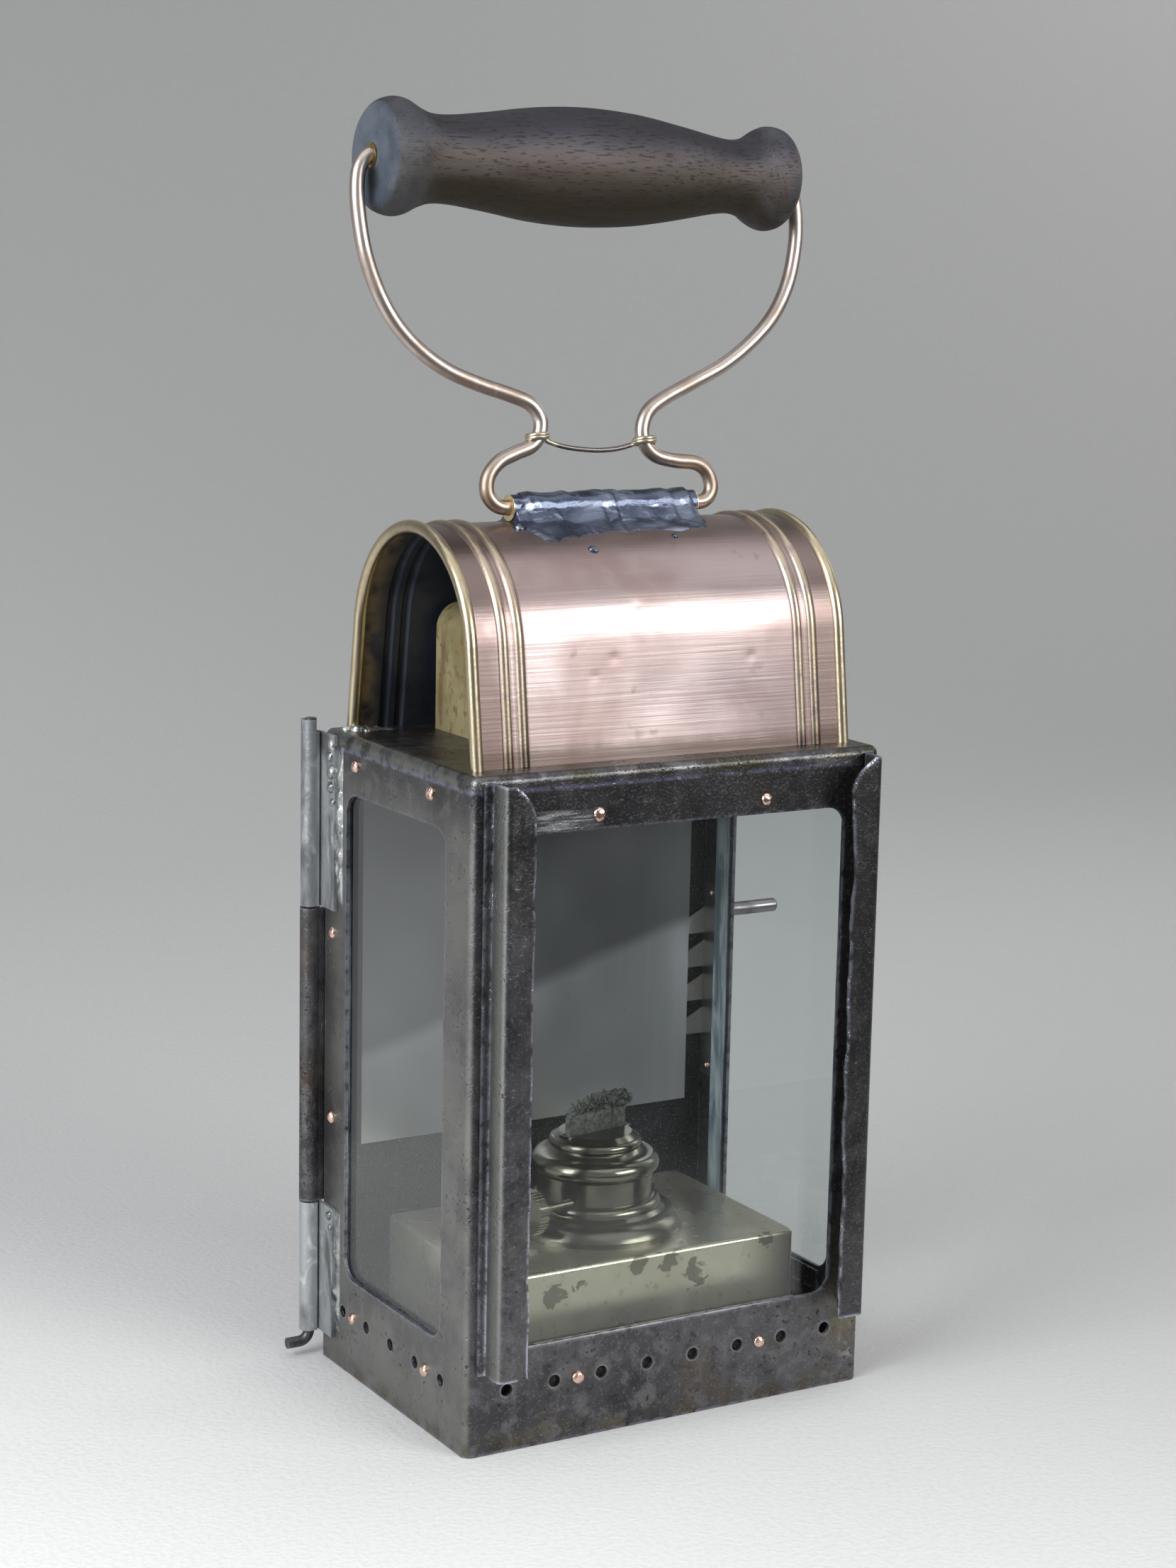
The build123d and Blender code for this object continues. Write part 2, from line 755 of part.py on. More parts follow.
# Solder saddle: a thin skin on the hood that fills up to the tube
solder_length = tube_length - 2 * solder_end_inset
wrap_radius = tube_radius + solder_wrap
with BuildPart() as crown_solder:
    with BuildSketch(Plane.YZ.offset(-solder_length / 2)):
        with Locations((hood_setback, hood_center)):
            Circle(hood_radius + solder_skin)
        with Locations((hood_setback, hood_center + hood_radius)):
            Rectangle(2 * solder_half_depth, 2 * hood_radius, mode=Mode.INTERSECT)
        with Locations((hood_setback, tube_height)):
            Circle(wrap_radius)
        with BuildLine():
            Polyline(
                (hood_setback - 2 * wrap_radius, hood_center + hood_radius - solder_skin),
                (hood_setback - wrap_radius, tube_height),
                (hood_setback + wrap_radius, tube_height),
                (hood_setback + 2 * wrap_radius, hood_center + hood_radius - solder_skin),
                close=True,
            )
        make_face()
        with Locations((hood_setback, hood_center)):
            Circle(hood_radius, mode=Mode.SUBTRACT)
        with Locations((hood_setback, tube_height)):
            Circle(tube_radius, mode=Mode.SUBTRACT)
    extrude(amount=solder_length)
write(crown_solder, "crown_solder")

# Bail: one wire from inside the tube, round both necks and through the grip
bail_lower_half = [
    (bail_end_gap / 2, 0),
    (bail_foot_spread / 2, 0),
    (bail_foot_spread / 2, bail_elbow_height),
    (neck_spread / 2, neck_low_height),
    (neck_spread / 2, neck_high_height),
    (shoulder_spread / 2, shoulder_height),
    (flank_spread / 2, flank_height),
    (bail_top_spread / 2, bail_top_height),
]
bail_radii = [
    bail_foot_radius,
    bail_elbow_radius,
    neck_low_radius,
    neck_high_radius,
    shoulder_radius,
    flank_radius,
    bail_top_radius,
    grip_bend_radius,
]
tilt_rise = bail_top_spread / 2 * tan(radians(grip_tilt))
with BuildPart() as bail:
    with BuildLine(bail_plane) as bail_path:
        FilletPolyline(
            *bail_lower_half,
            (bail_top_spread / 2, grip_height - tilt_rise),
            (-bail_top_spread / 2, grip_height + tilt_rise),
            *[(-u, v) for u, v in reversed(bail_lower_half)],
            radius=bail_radii + bail_radii[::-1],
        )
    with BuildSketch(Plane(origin=bail_path.line @ 0, z_dir=bail_path.line % 0)):
        Circle(wire_radius)
    sweep(path=bail_path.line)
write(bail, "bail")

# Tie wire: a ring round each neck and a sagging span between them
ring_radius = wire_radius + tie_radius + tie_play
tie_start = neck_spread / 2 - ring_radius
with BuildPart(bail_plane) as tie_wire:
    with Locations((-neck_spread / 2, tie_height, 0), (neck_spread / 2, tie_height, 0)):
        Torus(ring_radius, tie_radius, rotation=(90, 0, 0))
    with BuildLine(bail_plane) as tie_path:
        ThreePointArc((-tie_start, tie_height), (0, tie_height - tie_sag), (tie_start, tie_height))
    with BuildSketch(Plane(origin=tie_path.line @ 0, z_dir=tie_path.line % 0)):
        Circle(tie_span_radius)
    sweep(path=tie_path.line)
write(tie_wire, "tie_wire")

# Grip: turned wood with a swell in the middle and a knob at each end
grip_end = grip_length / 2
knob_u = grip_end - grip_knob_inset
neck_u = grip_end - grip_neck_inset
knob_round = grip_knob_inset / 5
with BuildPart() as grip:
    with BuildSketch(grip_plane):
        with BuildLine():
            Spline(
                (-knob_u, grip_left_knob_radius),
                (-neck_u, grip_left_neck_radius),
                (0, grip_swell_radius),
                (neck_u, grip_right_neck_radius),
                (knob_u, grip_right_knob_radius),
                tangents=((1, 0), (1, 0)),
            )
            SagittaArc(
                (knob_u, grip_right_knob_radius), (grip_end, grip_end_radius), knob_round
            )
            Polyline(
                (grip_end, grip_end_radius),
                (grip_end, liner_radius),
                (-grip_end, liner_radius),
                (-grip_end, grip_end_radius),
            )
            SagittaArc(
                (-grip_end, grip_end_radius), (-knob_u, grip_left_knob_radius), knob_round
            )
        make_face()
    revolve(axis=Axis(grip_plane.origin, grip_plane.x_dir))
write(grip, "grip")

with BuildPart() as grip_liner:
    with BuildSketch(Plane(grip_plane.origin, x_dir=grip_plane.z_dir, z_dir=grip_plane.x_dir)):
        Circle(liner_radius)
        Circle(wire_radius + running_clearance, mode=Mode.SUBTRACT)
    extrude(amount=grip_end + liner_stand, both=True)
write(grip_liner, "grip_liner")

# Oil font: a sheet box with a separate bottom plate, standing on the tray
with BuildPart() as font:
    with BuildSketch(Plane.XY.offset(sheet)):
        RectangleRounded(font_width, font_depth, font_corner_radius)
    extrude(amount=font_top - sheet)
    fillet(faces().sort_by(Axis.Z)[-1].edges(), font_edge_radius)
    offset(amount=-font_sheet, openings=faces().sort_by(Axis.Z)[0])
    with BuildSketch(Plane.XY.offset(font_top)):
        Circle(collar_radius)
    extrude(amount=-2 * font_sheet, mode=Mode.SUBTRACT)
write(font, "font")

with BuildPart() as font_bottom:
    with BuildSketch(Plane.XY.offset(sheet)):
        RectangleRounded(
            font_width - 2 * font_sheet, font_depth - 2 * font_sheet, font_corner_radius - font_sheet
        )
    extrude(amount=font_sheet)
write(font_bottom, "font_bottom")

# Burner collar set into the font's top
with BuildPart() as burner_collar:
    with BuildSketch(Plane.XY.offset(font_top - collar_depth)):
        Circle(collar_radius)
    extrude(amount=collar_depth + collar_top)
    with BuildSketch(Plane.XY.offset(font_top)):
        Circle(collar_flange_radius)
    extrude(amount=collar_flange_height)
    with BuildSketch(Plane.XY.offset(font_top - collar_depth)):
        Circle(collar_bore)
    extrude(amount=collar_depth + collar_top, mode=Mode.SUBTRACT)
write(burner_collar, "burner_collar")


# Burner base: a spun bell, a bead and the neck that carries the spindle
def above(radius, height):
    return (radius, font_top + height)


with BuildPart() as burner_base:
    with BuildSketch(Plane.XZ):
        with BuildLine():
            Line(above(burner_rim_radius, 0), above(burner_rim_radius, burner_rim_height))
            SagittaArc(
                above(burner_rim_radius, burner_rim_height),
                above(burner_bell_radius, burner_bell_height),
                -burner_wall,
            )
            Line(
                above(burner_bell_radius, burner_bell_height),
                above(burner_bead_radius, burner_bell_height + burner_wall),
            )
            SagittaArc(
                above(burner_bead_radius, burner_bell_height + burner_wall),
                above(burner_neck_radius, burner_bead_height),
                -burner_wall,
            )
            Polyline(
                above(burner_neck_radius, burner_bead_height),
                above(burner_neck_radius, burner_neck_height),
                above(burner_neck_radius - burner_wall, burner_neck_height),
                above(burner_neck_radius - burner_wall, burner_bell_height),
                above(burner_rim_radius - 2 * burner_wall, 0),
                above(burner_rim_radius, 0),
            )
        make_face()
    revolve(axis=Axis.Z)
    with BuildSketch(spindle_plane):
        Circle(spindle_radius + running_clearance)
    extrude(amount=burner_rim_radius, both=True, mode=Mode.SUBTRACT)
write(burner_base, "burner_base")


# Burner cap: a rolled ring, a throat and a crown slotted for the wick tube
def on_cap(radius, height):
    return (radius, cap_base + height)


with BuildPart() as burner_cap:
    with BuildSketch(Plane.XZ):
        with BuildLine():
            Line(on_cap(burner_neck_radius - burner_wall, 0), on_cap(burner_neck_radius, 0))
            SagittaArc(
                on_cap(burner_neck_radius, 0),
                on_cap(burner_neck_radius, cap_ring_height),
                burner_neck_radius - cap_ring_radius,
            )
            SagittaArc(
                on_cap(burner_neck_radius, cap_ring_height),
                on_cap(cap_throat_radius - burner_wall, cap_throat_height),
                burner_wall / 2,
            )
            SagittaArc(
                on_cap(cap_throat_radius - burner_wall, cap_throat_height),
                on_cap(cap_crown_radius - burner_wall, cap_crown_height),
                -burner_wall,
            )
            Line(
                on_cap(cap_crown_radius - burner_wall, cap_crown_height),
                on_cap(cap_crown_radius - 3 * burner_wall, cap_top_height),
            )
            Polyline(
                on_cap(cap_crown_radius - 3 * burner_wall, cap_top_height),
                on_cap(0, cap_top_height),
                on_cap(0, cap_top_height - burner_wall),
                on_cap(cap_crown_radius - 3 * burner_wall, cap_crown_height - burner_wall),
                on_cap(cap_throat_radius - 2 * burner_wall, cap_throat_height - burner_wall),
                on_cap(burner_neck_radius - burner_wall, cap_ring_height - burner_wall),
                on_cap(burner_neck_radius - burner_wall, 0),
            )
        make_face()
    revolve(axis=Axis.Z)
    with BuildSketch(burner_plan):
        Rectangle(wick_tube_width, wick_tube_thickness)
    extrude(amount=cap_top, mode=Mode.SUBTRACT)
write(burner_cap, "burner_cap")

# Wick tube: a flat tube held in the cap's slot, with windows for the wheels
window_reach = spindle_offset - wick_tube_thickness / 2
wheel_chord = 2 * sqrt(wheel_radius**2 - window_reach**2)
with BuildPart() as wick_tube:
    with BuildSketch(burner_plan.offset(-wick_tube_depth)):
        Rectangle(wick_tube_width, wick_tube_thickness)
        Rectangle(wick_width + 2 * wick_play, wick_thickness + 2 * wick_play, mode=Mode.SUBTRACT)
    extrude(amount=wick_tube_depth + cap_top - font_top)
    with BuildSketch(Plane(spindle_plane.origin, x_dir=wick_along, z_dir=wick_across)):
        with Locations(*[(u, 0) for u in pair(wheel_spread)]):
            Rectangle(
                wheel_thickness + 2 * wheel_window_margin, wheel_chord + 2 * wheel_window_margin
            )
    extrude(amount=spindle_offset, mode=Mode.SUBTRACT)
write(wick_tube, "wick_tube")

# Wick: a flat woven strip from the font to above the cap
with BuildPart() as wick:
    with BuildSketch(burner_plan.offset(wick_bottom - font_top)):
        Rectangle(wick_width, wick_thickness)
    extrude(amount=cap_top + wick_stand - wick_bottom)
write(wick, "wick")

# Spindle through the burner's neck, its toothed wheels and its knurled knob
spindle_right = sqrt(burner_neck_radius**2 - spindle_offset**2) + spindle_stand
with BuildPart() as spindle:
    with BuildSketch(spindle_plane.offset(-knob_distance)):
        Circle(spindle_radius)
    extrude(amount=knob_distance + spindle_right)
write(spindle, "spindle")

with BuildPart() as wick_wheels:
    for wheel_u in pair(wheel_spread):
        with BuildSketch(spindle_plane.offset(wheel_u - wheel_thickness / 2)):
            Circle(wheel_radius)
            with PolarLocations(wheel_radius, wheel_teeth):
                RegularPolygon(wheel_tooth, 3, rotation=180, mode=Mode.SUBTRACT)
            Circle(spindle_radius, mode=Mode.SUBTRACT)
        extrude(amount=wheel_thickness)
write(wick_wheels, "wick_wheels")

with BuildPart() as wick_knob:
    with BuildSketch(spindle_plane.offset(-knob_distance)):
        Circle(knob_radius)
        with PolarLocations(knob_radius, knurl_count):
            Circle(knurl_radius, mode=Mode.SUBTRACT)
        Circle(spindle_radius, mode=Mode.SUBTRACT)
    extrude(amount=knob_thickness)
write(wick_knob, "wick_knob")
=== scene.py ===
from math import cos, pi, radians, sin

import bmesh
import bpy
import numpy as np
from mathutils import Matrix, Vector, noise


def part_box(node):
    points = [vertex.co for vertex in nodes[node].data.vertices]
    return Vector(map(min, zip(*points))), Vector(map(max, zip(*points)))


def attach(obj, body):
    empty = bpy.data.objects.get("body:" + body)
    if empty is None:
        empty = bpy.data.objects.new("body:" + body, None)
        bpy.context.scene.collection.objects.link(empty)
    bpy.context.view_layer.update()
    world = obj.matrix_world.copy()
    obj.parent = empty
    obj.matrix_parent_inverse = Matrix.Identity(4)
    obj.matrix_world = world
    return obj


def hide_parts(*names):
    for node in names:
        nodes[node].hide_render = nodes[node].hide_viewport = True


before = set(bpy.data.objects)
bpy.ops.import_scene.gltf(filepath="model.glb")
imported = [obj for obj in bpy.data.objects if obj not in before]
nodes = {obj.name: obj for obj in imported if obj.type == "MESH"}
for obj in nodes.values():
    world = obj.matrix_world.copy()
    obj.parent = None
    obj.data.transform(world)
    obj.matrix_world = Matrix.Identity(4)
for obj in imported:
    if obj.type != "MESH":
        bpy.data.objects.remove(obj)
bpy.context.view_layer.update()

# Sizes and places in metres, in the frame of the solids
body_low, body_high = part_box("body_wall")
roof_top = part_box("roof_cap")[1].z
side_window_rear = 0.0222
left_lap = 0.0022
vent_height = 0.0135
vent_radius = 0.00135
front_vent_pitch = 0.0115
side_vent_pitch = 0.0117
side_vent_shift = 0.00065

rivet_radius = 0.00145
rivet_dome = 0.0009
rivet_shank = 0.0007
rivet_reach = 0.0017
rivet_seed = 4
low_rivets = 0.0133
front_low_rivet_x = 0.023
front_high_rivets = 0.1346
front_high_rivet_x = 0.0206
side_high_rivets = 0.138
side_rivet_middle = 0.0019
side_rivet_spread = 0.0175
comb_rivet_y = 0.0306
comb_rivet_heights = (0.0569, 0.0991)

channel_sheet = 0.0007
channel_x = 0.046
channel_foot = 0.0016
channel_depth = 0.007
channel_flange = 0.0076
channel_bend = 0.0012
channel_fold = 0.0004
channel_corner = 0.0068
channel_trim = 0.0005
channel_rag = 0.0007
channel_bow = 0.0003
channel_low, channel_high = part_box("left_channel")

hinge = Vector((-0.0526, 0.0364))
curl_radius = 0.0018
curl_height = 0.0027
strap_sheet = 0.0008
strap_reach = 0.006
strap_rag = 0.0008
strap_gap = 0.00005
strap_front = body_high.y - strap_reach
strap_face = body_low.x - strap_sheet
smear_inset = 0.0016
smear_base = 0.0004
smear_sink = 0.0001

hood_sheet = 0.0007
hood_radius = 0.026
hood_lean = radians(7.5)
hood_setback = 0.0022
hood_rise = 0.0213
hood_centre = roof_top + hood_rise
hood_half = 0.04515
hood_side = (hood_centre + hood_radius * sin(hood_lean) - roof_top) / cos(hood_lean)
hood_round = hood_radius * (pi - 2 * hood_lean)
hood_run = 2 * hood_side + hood_round
hood_wave = 0.00006
hood_wave_fade = 0.006
bead_radius = 0.00115
bead_places = (0.0343, 0.0379)
bead_reach = 0.0015

tube_radius = 0.0028
tube_gap = 0.00015
tube_height = hood_centre + hood_radius + tube_gap + tube_radius
saddle_half = 0.0225
saddle_skin = 0.00022
skirt_start = 0.0052
skirt_least = 0.006
rear_skirt = 0.01
skirt_lift = 0.0004
skirt_tuck = 0.0002
saddle_end = 0.0022
saddle_lip = 0.0002
saddle_lift = 0.0001
saddle_lumps = 0.00014
saddle_sink = 0.0003
wipe_height = 0.0006
wipe_pitch = 0.0078
wipe_slant = 90
wipe_peak = 0.64

wire_radius = 0.0016
bail_lean = radians(8.5)
bail_right = Vector((1, 0, 0))
bail_up = Vector((0, sin(bail_lean), cos(bail_lean)))
bail_away = bail_right.cross(bail_up)
bail_root = Vector((0, hood_setback, tube_height))
tie_radius = 0.00055
tie_turns = 1.9
tie_gap = 0.00004
tie_pitch = 0.0011
tie_back = -0.0004
grip_tilt = radians(1.3)
grip_height = 0.0721
grip_half = 0.0503
grip_bore = 0.0025
grip_end_ring = 0.005
grip_wear = 0.006
grip_axis = cos(grip_tilt) * bail_right - sin(grip_tilt) * bail_up
grip_lift = bail_up * cos(grip_tilt) + bail_right * sin(grip_tilt)
grip_middle = bail_root + grip_height * bail_up

font_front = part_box("font")[0].y
font_stains = [
    (-0.0245, 0.0292, 0.0048), (-0.0175, 0.0305, 0.003), (-0.003, 0.0325, 0.0036),
    (0.0045, 0.0322, 0.0046), (0.0115, 0.0282, 0.0052), (0.03, 0.033, 0.003),
]
burner_turn = radians(9)
cap_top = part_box("burner_cap")[1].z
wick_low, wick_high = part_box("wick")
wick_width = 0.0166
wick_thickness = 0.002
wick_dip = 0.0045
wick_slant = 0.002
slant_start = -0.0085
slant_run = 0.0055
wick_fuzz_room = 0.001
wick_crown = 0.0008
fray_from = cap_top + wick_dip
fray_run = 0.0015
fray_height = 0.0008
strand_length = 0.0013
strand_radius = 0.00017
strand_density = 2.2e7
strand_seed = 11


# Node building: arithmetic on a socket adds Math nodes, node() adds any other node
node_families = ("ShaderNode", "GeometryNode", "FunctionNode", "NodeGroup")


class Wire:
    def __init__(self, maker, socket):
        self.maker = maker
        self.socket = socket

    def __getitem__(self, name):
        return Wire(self.maker, self.socket.node.outputs[name])

    def __add__(self, other):
        return self.maker.math("ADD", self, other)

    __radd__ = __add__

    def __mul__(self, other):
        return self.maker.math("MULTIPLY", self, other)

    __rmul__ = __mul__

    def __sub__(self, other):
        return self.maker.math("SUBTRACT", self, other)

    def __rsub__(self, other):
        return self.maker.math("SUBTRACT", other, self)

    def __abs__(self):
        return self.maker.math("ABSOLUTE", self, 0.0)


class Maker:
    def __init__(self, tree):
        self.tree = tree

    def node(self, kind, sockets=None, **settings):
        """Add a node, named without its family, such as Math for ShaderNodeMath."""
        family = next(word for word in node_families if hasattr(bpy.types, word + kind))
        made = self.tree.nodes.new(family + kind)
        for name, value in settings.items():
            setattr(made, name, value)
        for name, value in (sockets or {}).items():
            socket = made.inputs[name]
            if isinstance(value, Wire):
                self.tree.links.new(value.socket, socket)
            else:
                socket.default_value = (*value, 1.0) if socket.type == "RGBA" else value
        return Wire(self, made.outputs[0]) if made.outputs else None

    def math(self, operation, first, second):
        return self.node("Math", {0: first, 1: second}, operation=operation)

    def vector(self, operation, first, second):
        return self.node("VectorMath", {0: first, 1: second}, operation=operation)


class Finish(Maker):
    """A material in the making, on the piece's own coordinates, with its colour laid on in coats."""

    def __init__(self, name):
        self.material = bpy.data.materials.new(name)
        self.material.use_nodes = True
        super().__init__(self.material.node_tree)
        self.tree.nodes.clear()
        self.place = self.node("TexCoord")["Object"]
        axes = self.node("SeparateXYZ", {0: self.place})
        self.x, self.y, self.z = axes["X"], axes["Y"], axes["Z"]
        self.colour = None

    def grain(self, scale, detail=3.0, stretch=None, warp=0.0):
        vector = self.place
        if stretch:
            vector = self.node("Mapping", {"Vector": vector, "Scale": stretch})
        sockets = {"Vector": vector, "Scale": scale, "Detail": detail, "Distortion": warp}
        return self.node("TexNoise", sockets)

    def step(self, value, low, high):
        sockets = {0: value, 1: low, 2: high}
        return self.node("MapRange", sockets, interpolation_type="SMOOTHSTEP")

    def patch(self, low, high, *grain, **warp):
        return self.step(self.grain(*grain, **warp), low, high)

    def blend(self, amount, first, second):
        mixed = self.node("Mix", {0: amount, 6: first, 7: second}, data_type="RGBA")
        return mixed[2]

    def base(self, amount, first, second):
        self.colour = self.blend(amount, first, second)

    def coat(self, amount, tone):
        self.base(amount, self.colour, tone)

    def spot(self, centre, radius, soft):
        away = self.vector("DISTANCE", self.place, centre)["Value"]
        return self.step(away, radius, radius - soft)

    def facing(self, direction):
        """How far the surface faces a direction in the piece's own frame."""
        normal = self.node("NewGeometry")["Normal"]
        settings = {"vector_type": "NORMAL", "convert_from": "WORLD", "convert_to": "OBJECT"}
        out = self.node("VectorTransform", {0: normal}, **settings)
        return self.vector("DOT_PRODUCT", out, direction)["Value"]

    def worn_edge(self, width):
        soft = self.node("Bevel", {"Radius": width}, samples=4)
        face = self.node("NewGeometry")["Normal"]
        return self.step(self.vector("DOT_PRODUCT", soft, face)["Value"], 0.99, 0.86)

    def close(self, shader):
        self.node("OutputMaterial", {"Surface": shader})
        return self.material

    def surface(self, metallic, roughness, relief, depth, specular=0.5):
        normal = self.node("Bump", {"Height": relief, "Distance": depth})
        sockets = {"Base Color": self.colour, "Metallic": metallic, "Roughness": roughness}
        sockets.update({"Normal": normal, "Specular IOR Level": specular})
        return self.close(self.node("BsdfPrincipled", sockets))


class Recipe(Maker):
    """A Geometry Nodes tree with named inputs: some amounts, a whole number and a finish."""

    def __init__(self, name, amounts, number):
        tree = bpy.data.node_groups.new(name, "GeometryNodeTree")
        tree.is_modifier = True
        inputs = {"Geometry": "Geometry", **dict.fromkeys(amounts, "Float")}
        inputs.update({number: "Int", "Finish": "Material"})
        for label, kind in inputs.items():
            tree.interface.new_socket(label, in_out="INPUT", socket_type="NodeSocket" + kind)
        tree.interface.new_socket("Geometry", in_out="OUTPUT", socket_type="NodeSocketGeometry")
        super().__init__(tree)
        self.given = self.node("Input")
        self.amounts = [self.given[label] for label in amounts]

    def named(self, name, kind):
        return self.node("InputNamedAttribute", {"Name": name}, data_type=kind)

    def tube(self, line, sides, radius):
        ring = self.node("CurvePrimitiveCircle", {"Resolution": sides, "Radius": radius})
        sockets = {"Curve": line, "Profile Curve": ring, "Fill Caps": True}
        return self.node("CurveToMesh", sockets)

    def join(self, first, second):
        whole = self.node("JoinGeometry", {0: first})
        self.tree.links.new(second.socket, whole.socket.node.inputs[0])
        return whole

    def vary(self, low, high):
        """A random size for each copy."""
        sockets = {2: low, 3: high, "Seed": self.given["Seed"]}
        return self.node("RandomValue", sockets, data_type="FLOAT")[1]

    def set_out(self, points, piece, rotation, size):
        sockets = {"Points": points, "Instance": piece, "Rotation": rotation, "Scale": size}
        return self.node("InstanceOnPoints", sockets)

    def close(self, geometry):
        real = self.node("RealizeInstances", {0: geometry})
        smooth = self.node("SetShadeSmooth", {0: real})
        painted = self.node("SetMaterial", {0: smooth, "Material": self.given["Finish"]})
        self.node("Output", {0: painted})
        return self.tree


# Mesh building
def smooth_shade(mesh, crease):
    mesh.polygons.foreach_set("use_smooth", [True] * len(mesh.polygons))
    mesh.set_sharp_from_angle(angle=radians(crease))


def add_piece(name, points, faces, material=None, edges=(), crease=40):
    mesh = bpy.data.meshes.new(name)
    mesh.from_pydata([tuple(point) for point in points], edges, faces)
    if faces:
        solid = bmesh.new()
        solid.from_mesh(mesh)
        bmesh.ops.recalc_face_normals(solid, faces=solid.faces)
        solid.to_mesh(mesh)
        solid.free()
        smooth_shade(mesh, crease)
    if material:
        mesh.materials.append(material)
    made = bpy.data.objects.new(name, mesh)
    bpy.context.scene.collection.objects.link(made)
    return made


def make_plain(piece):
    graph = bpy.context.evaluated_depsgraph_get()
    shaped = piece.evaluated_get(graph)
    mesh = bpy.data.meshes.new_from_object(shaped, preserve_all_data_layers=True, depsgraph=graph)
    piece.modifiers.clear()
    piece.data = mesh
    return piece


def follow(piece, recipe, values):
    modifier = piece.modifiers.new(recipe.name, "NODES")
    modifier.node_group = recipe
    for item in recipe.interface.items_tree:
        if item.in_out == "INPUT" and item.name in values:
            modifier[item.identifier] = values[item.name]
    return make_plain(piece)


def sheet_piece(name, points, rows, material, thickness, crease=40):
    """A sheet of metal whose middle runs through rows of points."""
    piece = add_piece(name, points, grid_faces(rows, len(points) // rows), material)
    sheet = piece.modifiers.new("sheet", "SOLIDIFY")
    sheet.thickness = thickness
    sheet.offset = 0
    make_plain(piece)
    smooth_shade(piece.data, crease)
    return piece


def fit(piece, slot, *replaced, body="lantern"):
    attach(piece, body)
    if replaced:
        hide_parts(*replaced)


def grid_faces(rows, columns, start=0, closed=False):
    faces = []
    for i in range(rows - 1):
        for j in range(columns if closed else columns - 1):
            a = start + i * columns + j
            b = start + i * columns + (j + 1) % columns
            faces.append((a, b, b + columns, a + columns))
    return faces


def shell_faces(rows, columns):
    """Faces of an upper and a lower grid of points, closed round their rims."""
    size = rows * columns
    upper = grid_faces(rows, columns)
    lower = [face[::-1] for face in grid_faces(rows, columns, size)]
    rim = list(range(columns))
    rim += [i * columns + columns - 1 for i in range(1, rows)]
    rim += [(rows - 1) * columns + j for j in range(columns - 2, -1, -1)]
    rim += [i * columns for i in range(rows - 2, 0, -1)]
    sides = [(a, a + size, b + size, b) for a, b in zip(rim, rim[1:] + rim[:1])]
    return upper + lower + sides


def lumps(points, scale, seed, octaves):
    """Smooth random values, about -1 to 1, at the points."""
    start = Vector((seed, 2.3 * seed, -1.7 * seed))
    return np.array([noise.fractal(Vector(p) * scale + start, 0.8, 2.0, octaves) for p in points])


def smooth_run(knots, count):
    """Points along a smooth curve through the knots."""
    knots = np.array(knots, float)
    ends = np.vstack([2 * knots[0] - knots[1], knots, 2 * knots[-1] - knots[-2]])
    run = []
    for place in np.linspace(0, len(knots) - 1, count):
        i = min(int(place), len(knots) - 2)
        t = place - i
        a, b, c, d = ends[i : i + 4]
        square, cube = 2 * a - 5 * b + 4 * c - d, 3 * b - a - 3 * c + d
        run.append(0.5 * (2 * b + (c - a) * t + square * t**2 + cube * t**3))
    return np.array(run)


# Finishes
def painted(paint):
    """Make the material that a function paints, under the function's own name."""
    return paint(Finish(paint.__name__))


def dark_steel(name, brown, shine, marks=None, edge_wear_and_highlight=(0.32, 0.32, 0.42)):
    f = Finish(name)
    cloud = f.grain(34, 5)
    mottle = f.grain(240, 6, warp=0.4)
    fine = f.grain(2000, 3)
    streak = f.grain(1, 3, (300, 300, 12))
    pits = f.patch(0.42, 0.3, 1000, 3) * f.patch(0.4, 0.62, 120, 3)
    rust = f.patch(0.52, 0.72, 80, 6) * brown
    f.base(f.step(cloud, 0.34, 0.66), (0.055, 0.055, 0.058), (0.115, 0.114, 0.12))
    f.coat(f.step(mottle, 0.48, 0.66) * 0.65, (0.178, 0.176, 0.184))
    f.coat(f.step(mottle, 0.44, 0.3) * 0.6, (0.03, 0.029, 0.031))
    f.coat(f.step(streak, 0.5, 0.8) * 0.25, (0.18, 0.178, 0.188))
    f.coat(rust, (0.1, 0.076, 0.05))
    if marks:
        marks(f)
    f.coat(f.step(fine, 0.56, 0.7) * 0.45, (0.25, 0.248, 0.258))
    f.coat(pits * 0.75, (0.03, 0.027, 0.026))
    # Rounded edges: partly rubbed wear, partly a painted highlight in the bluish edge colour.
    edge = f.worn_edge(0.0012) * f.patch(0.34, 0.56, 420, 3)
    f.coat(edge * 0.8, edge_wear_and_highlight)
    roughness = shine + 0.18 * cloud + 0.25 * pits - 0.08 * edge
    return f.surface(0.88, roughness, 0.5 * fine - 0.8 * pits + 0.5 * mottle + 1.2 * f.grain(60, 2), 0.00014)


def channel_marks(f):
    """Webs painted lighter as a highlight, pale flecks, and the right channel painted darker than the left as
    shade.
    """
    # Painted highlight: the webs made lighter.
    web_highlight = f.step(abs(f.facing((1, 0, 0))), 0.6, 0.9)
    f.coat(web_highlight * (0.35 + 0.5 * f.grain(1, 3, (500, 500, 30))), (0.3, 0.31, 0.28))
    fleck = f.patch(0.54, 0.66, 900, 4)
    f.coat(fleck * 0.5, (0.2, 0.2, 0.225))
    # Painted shade: the right channel made darker.
    f.coat(f.step(f.x, -0.04, 0.04) * 0.5, (0.035, 0.036, 0.036))


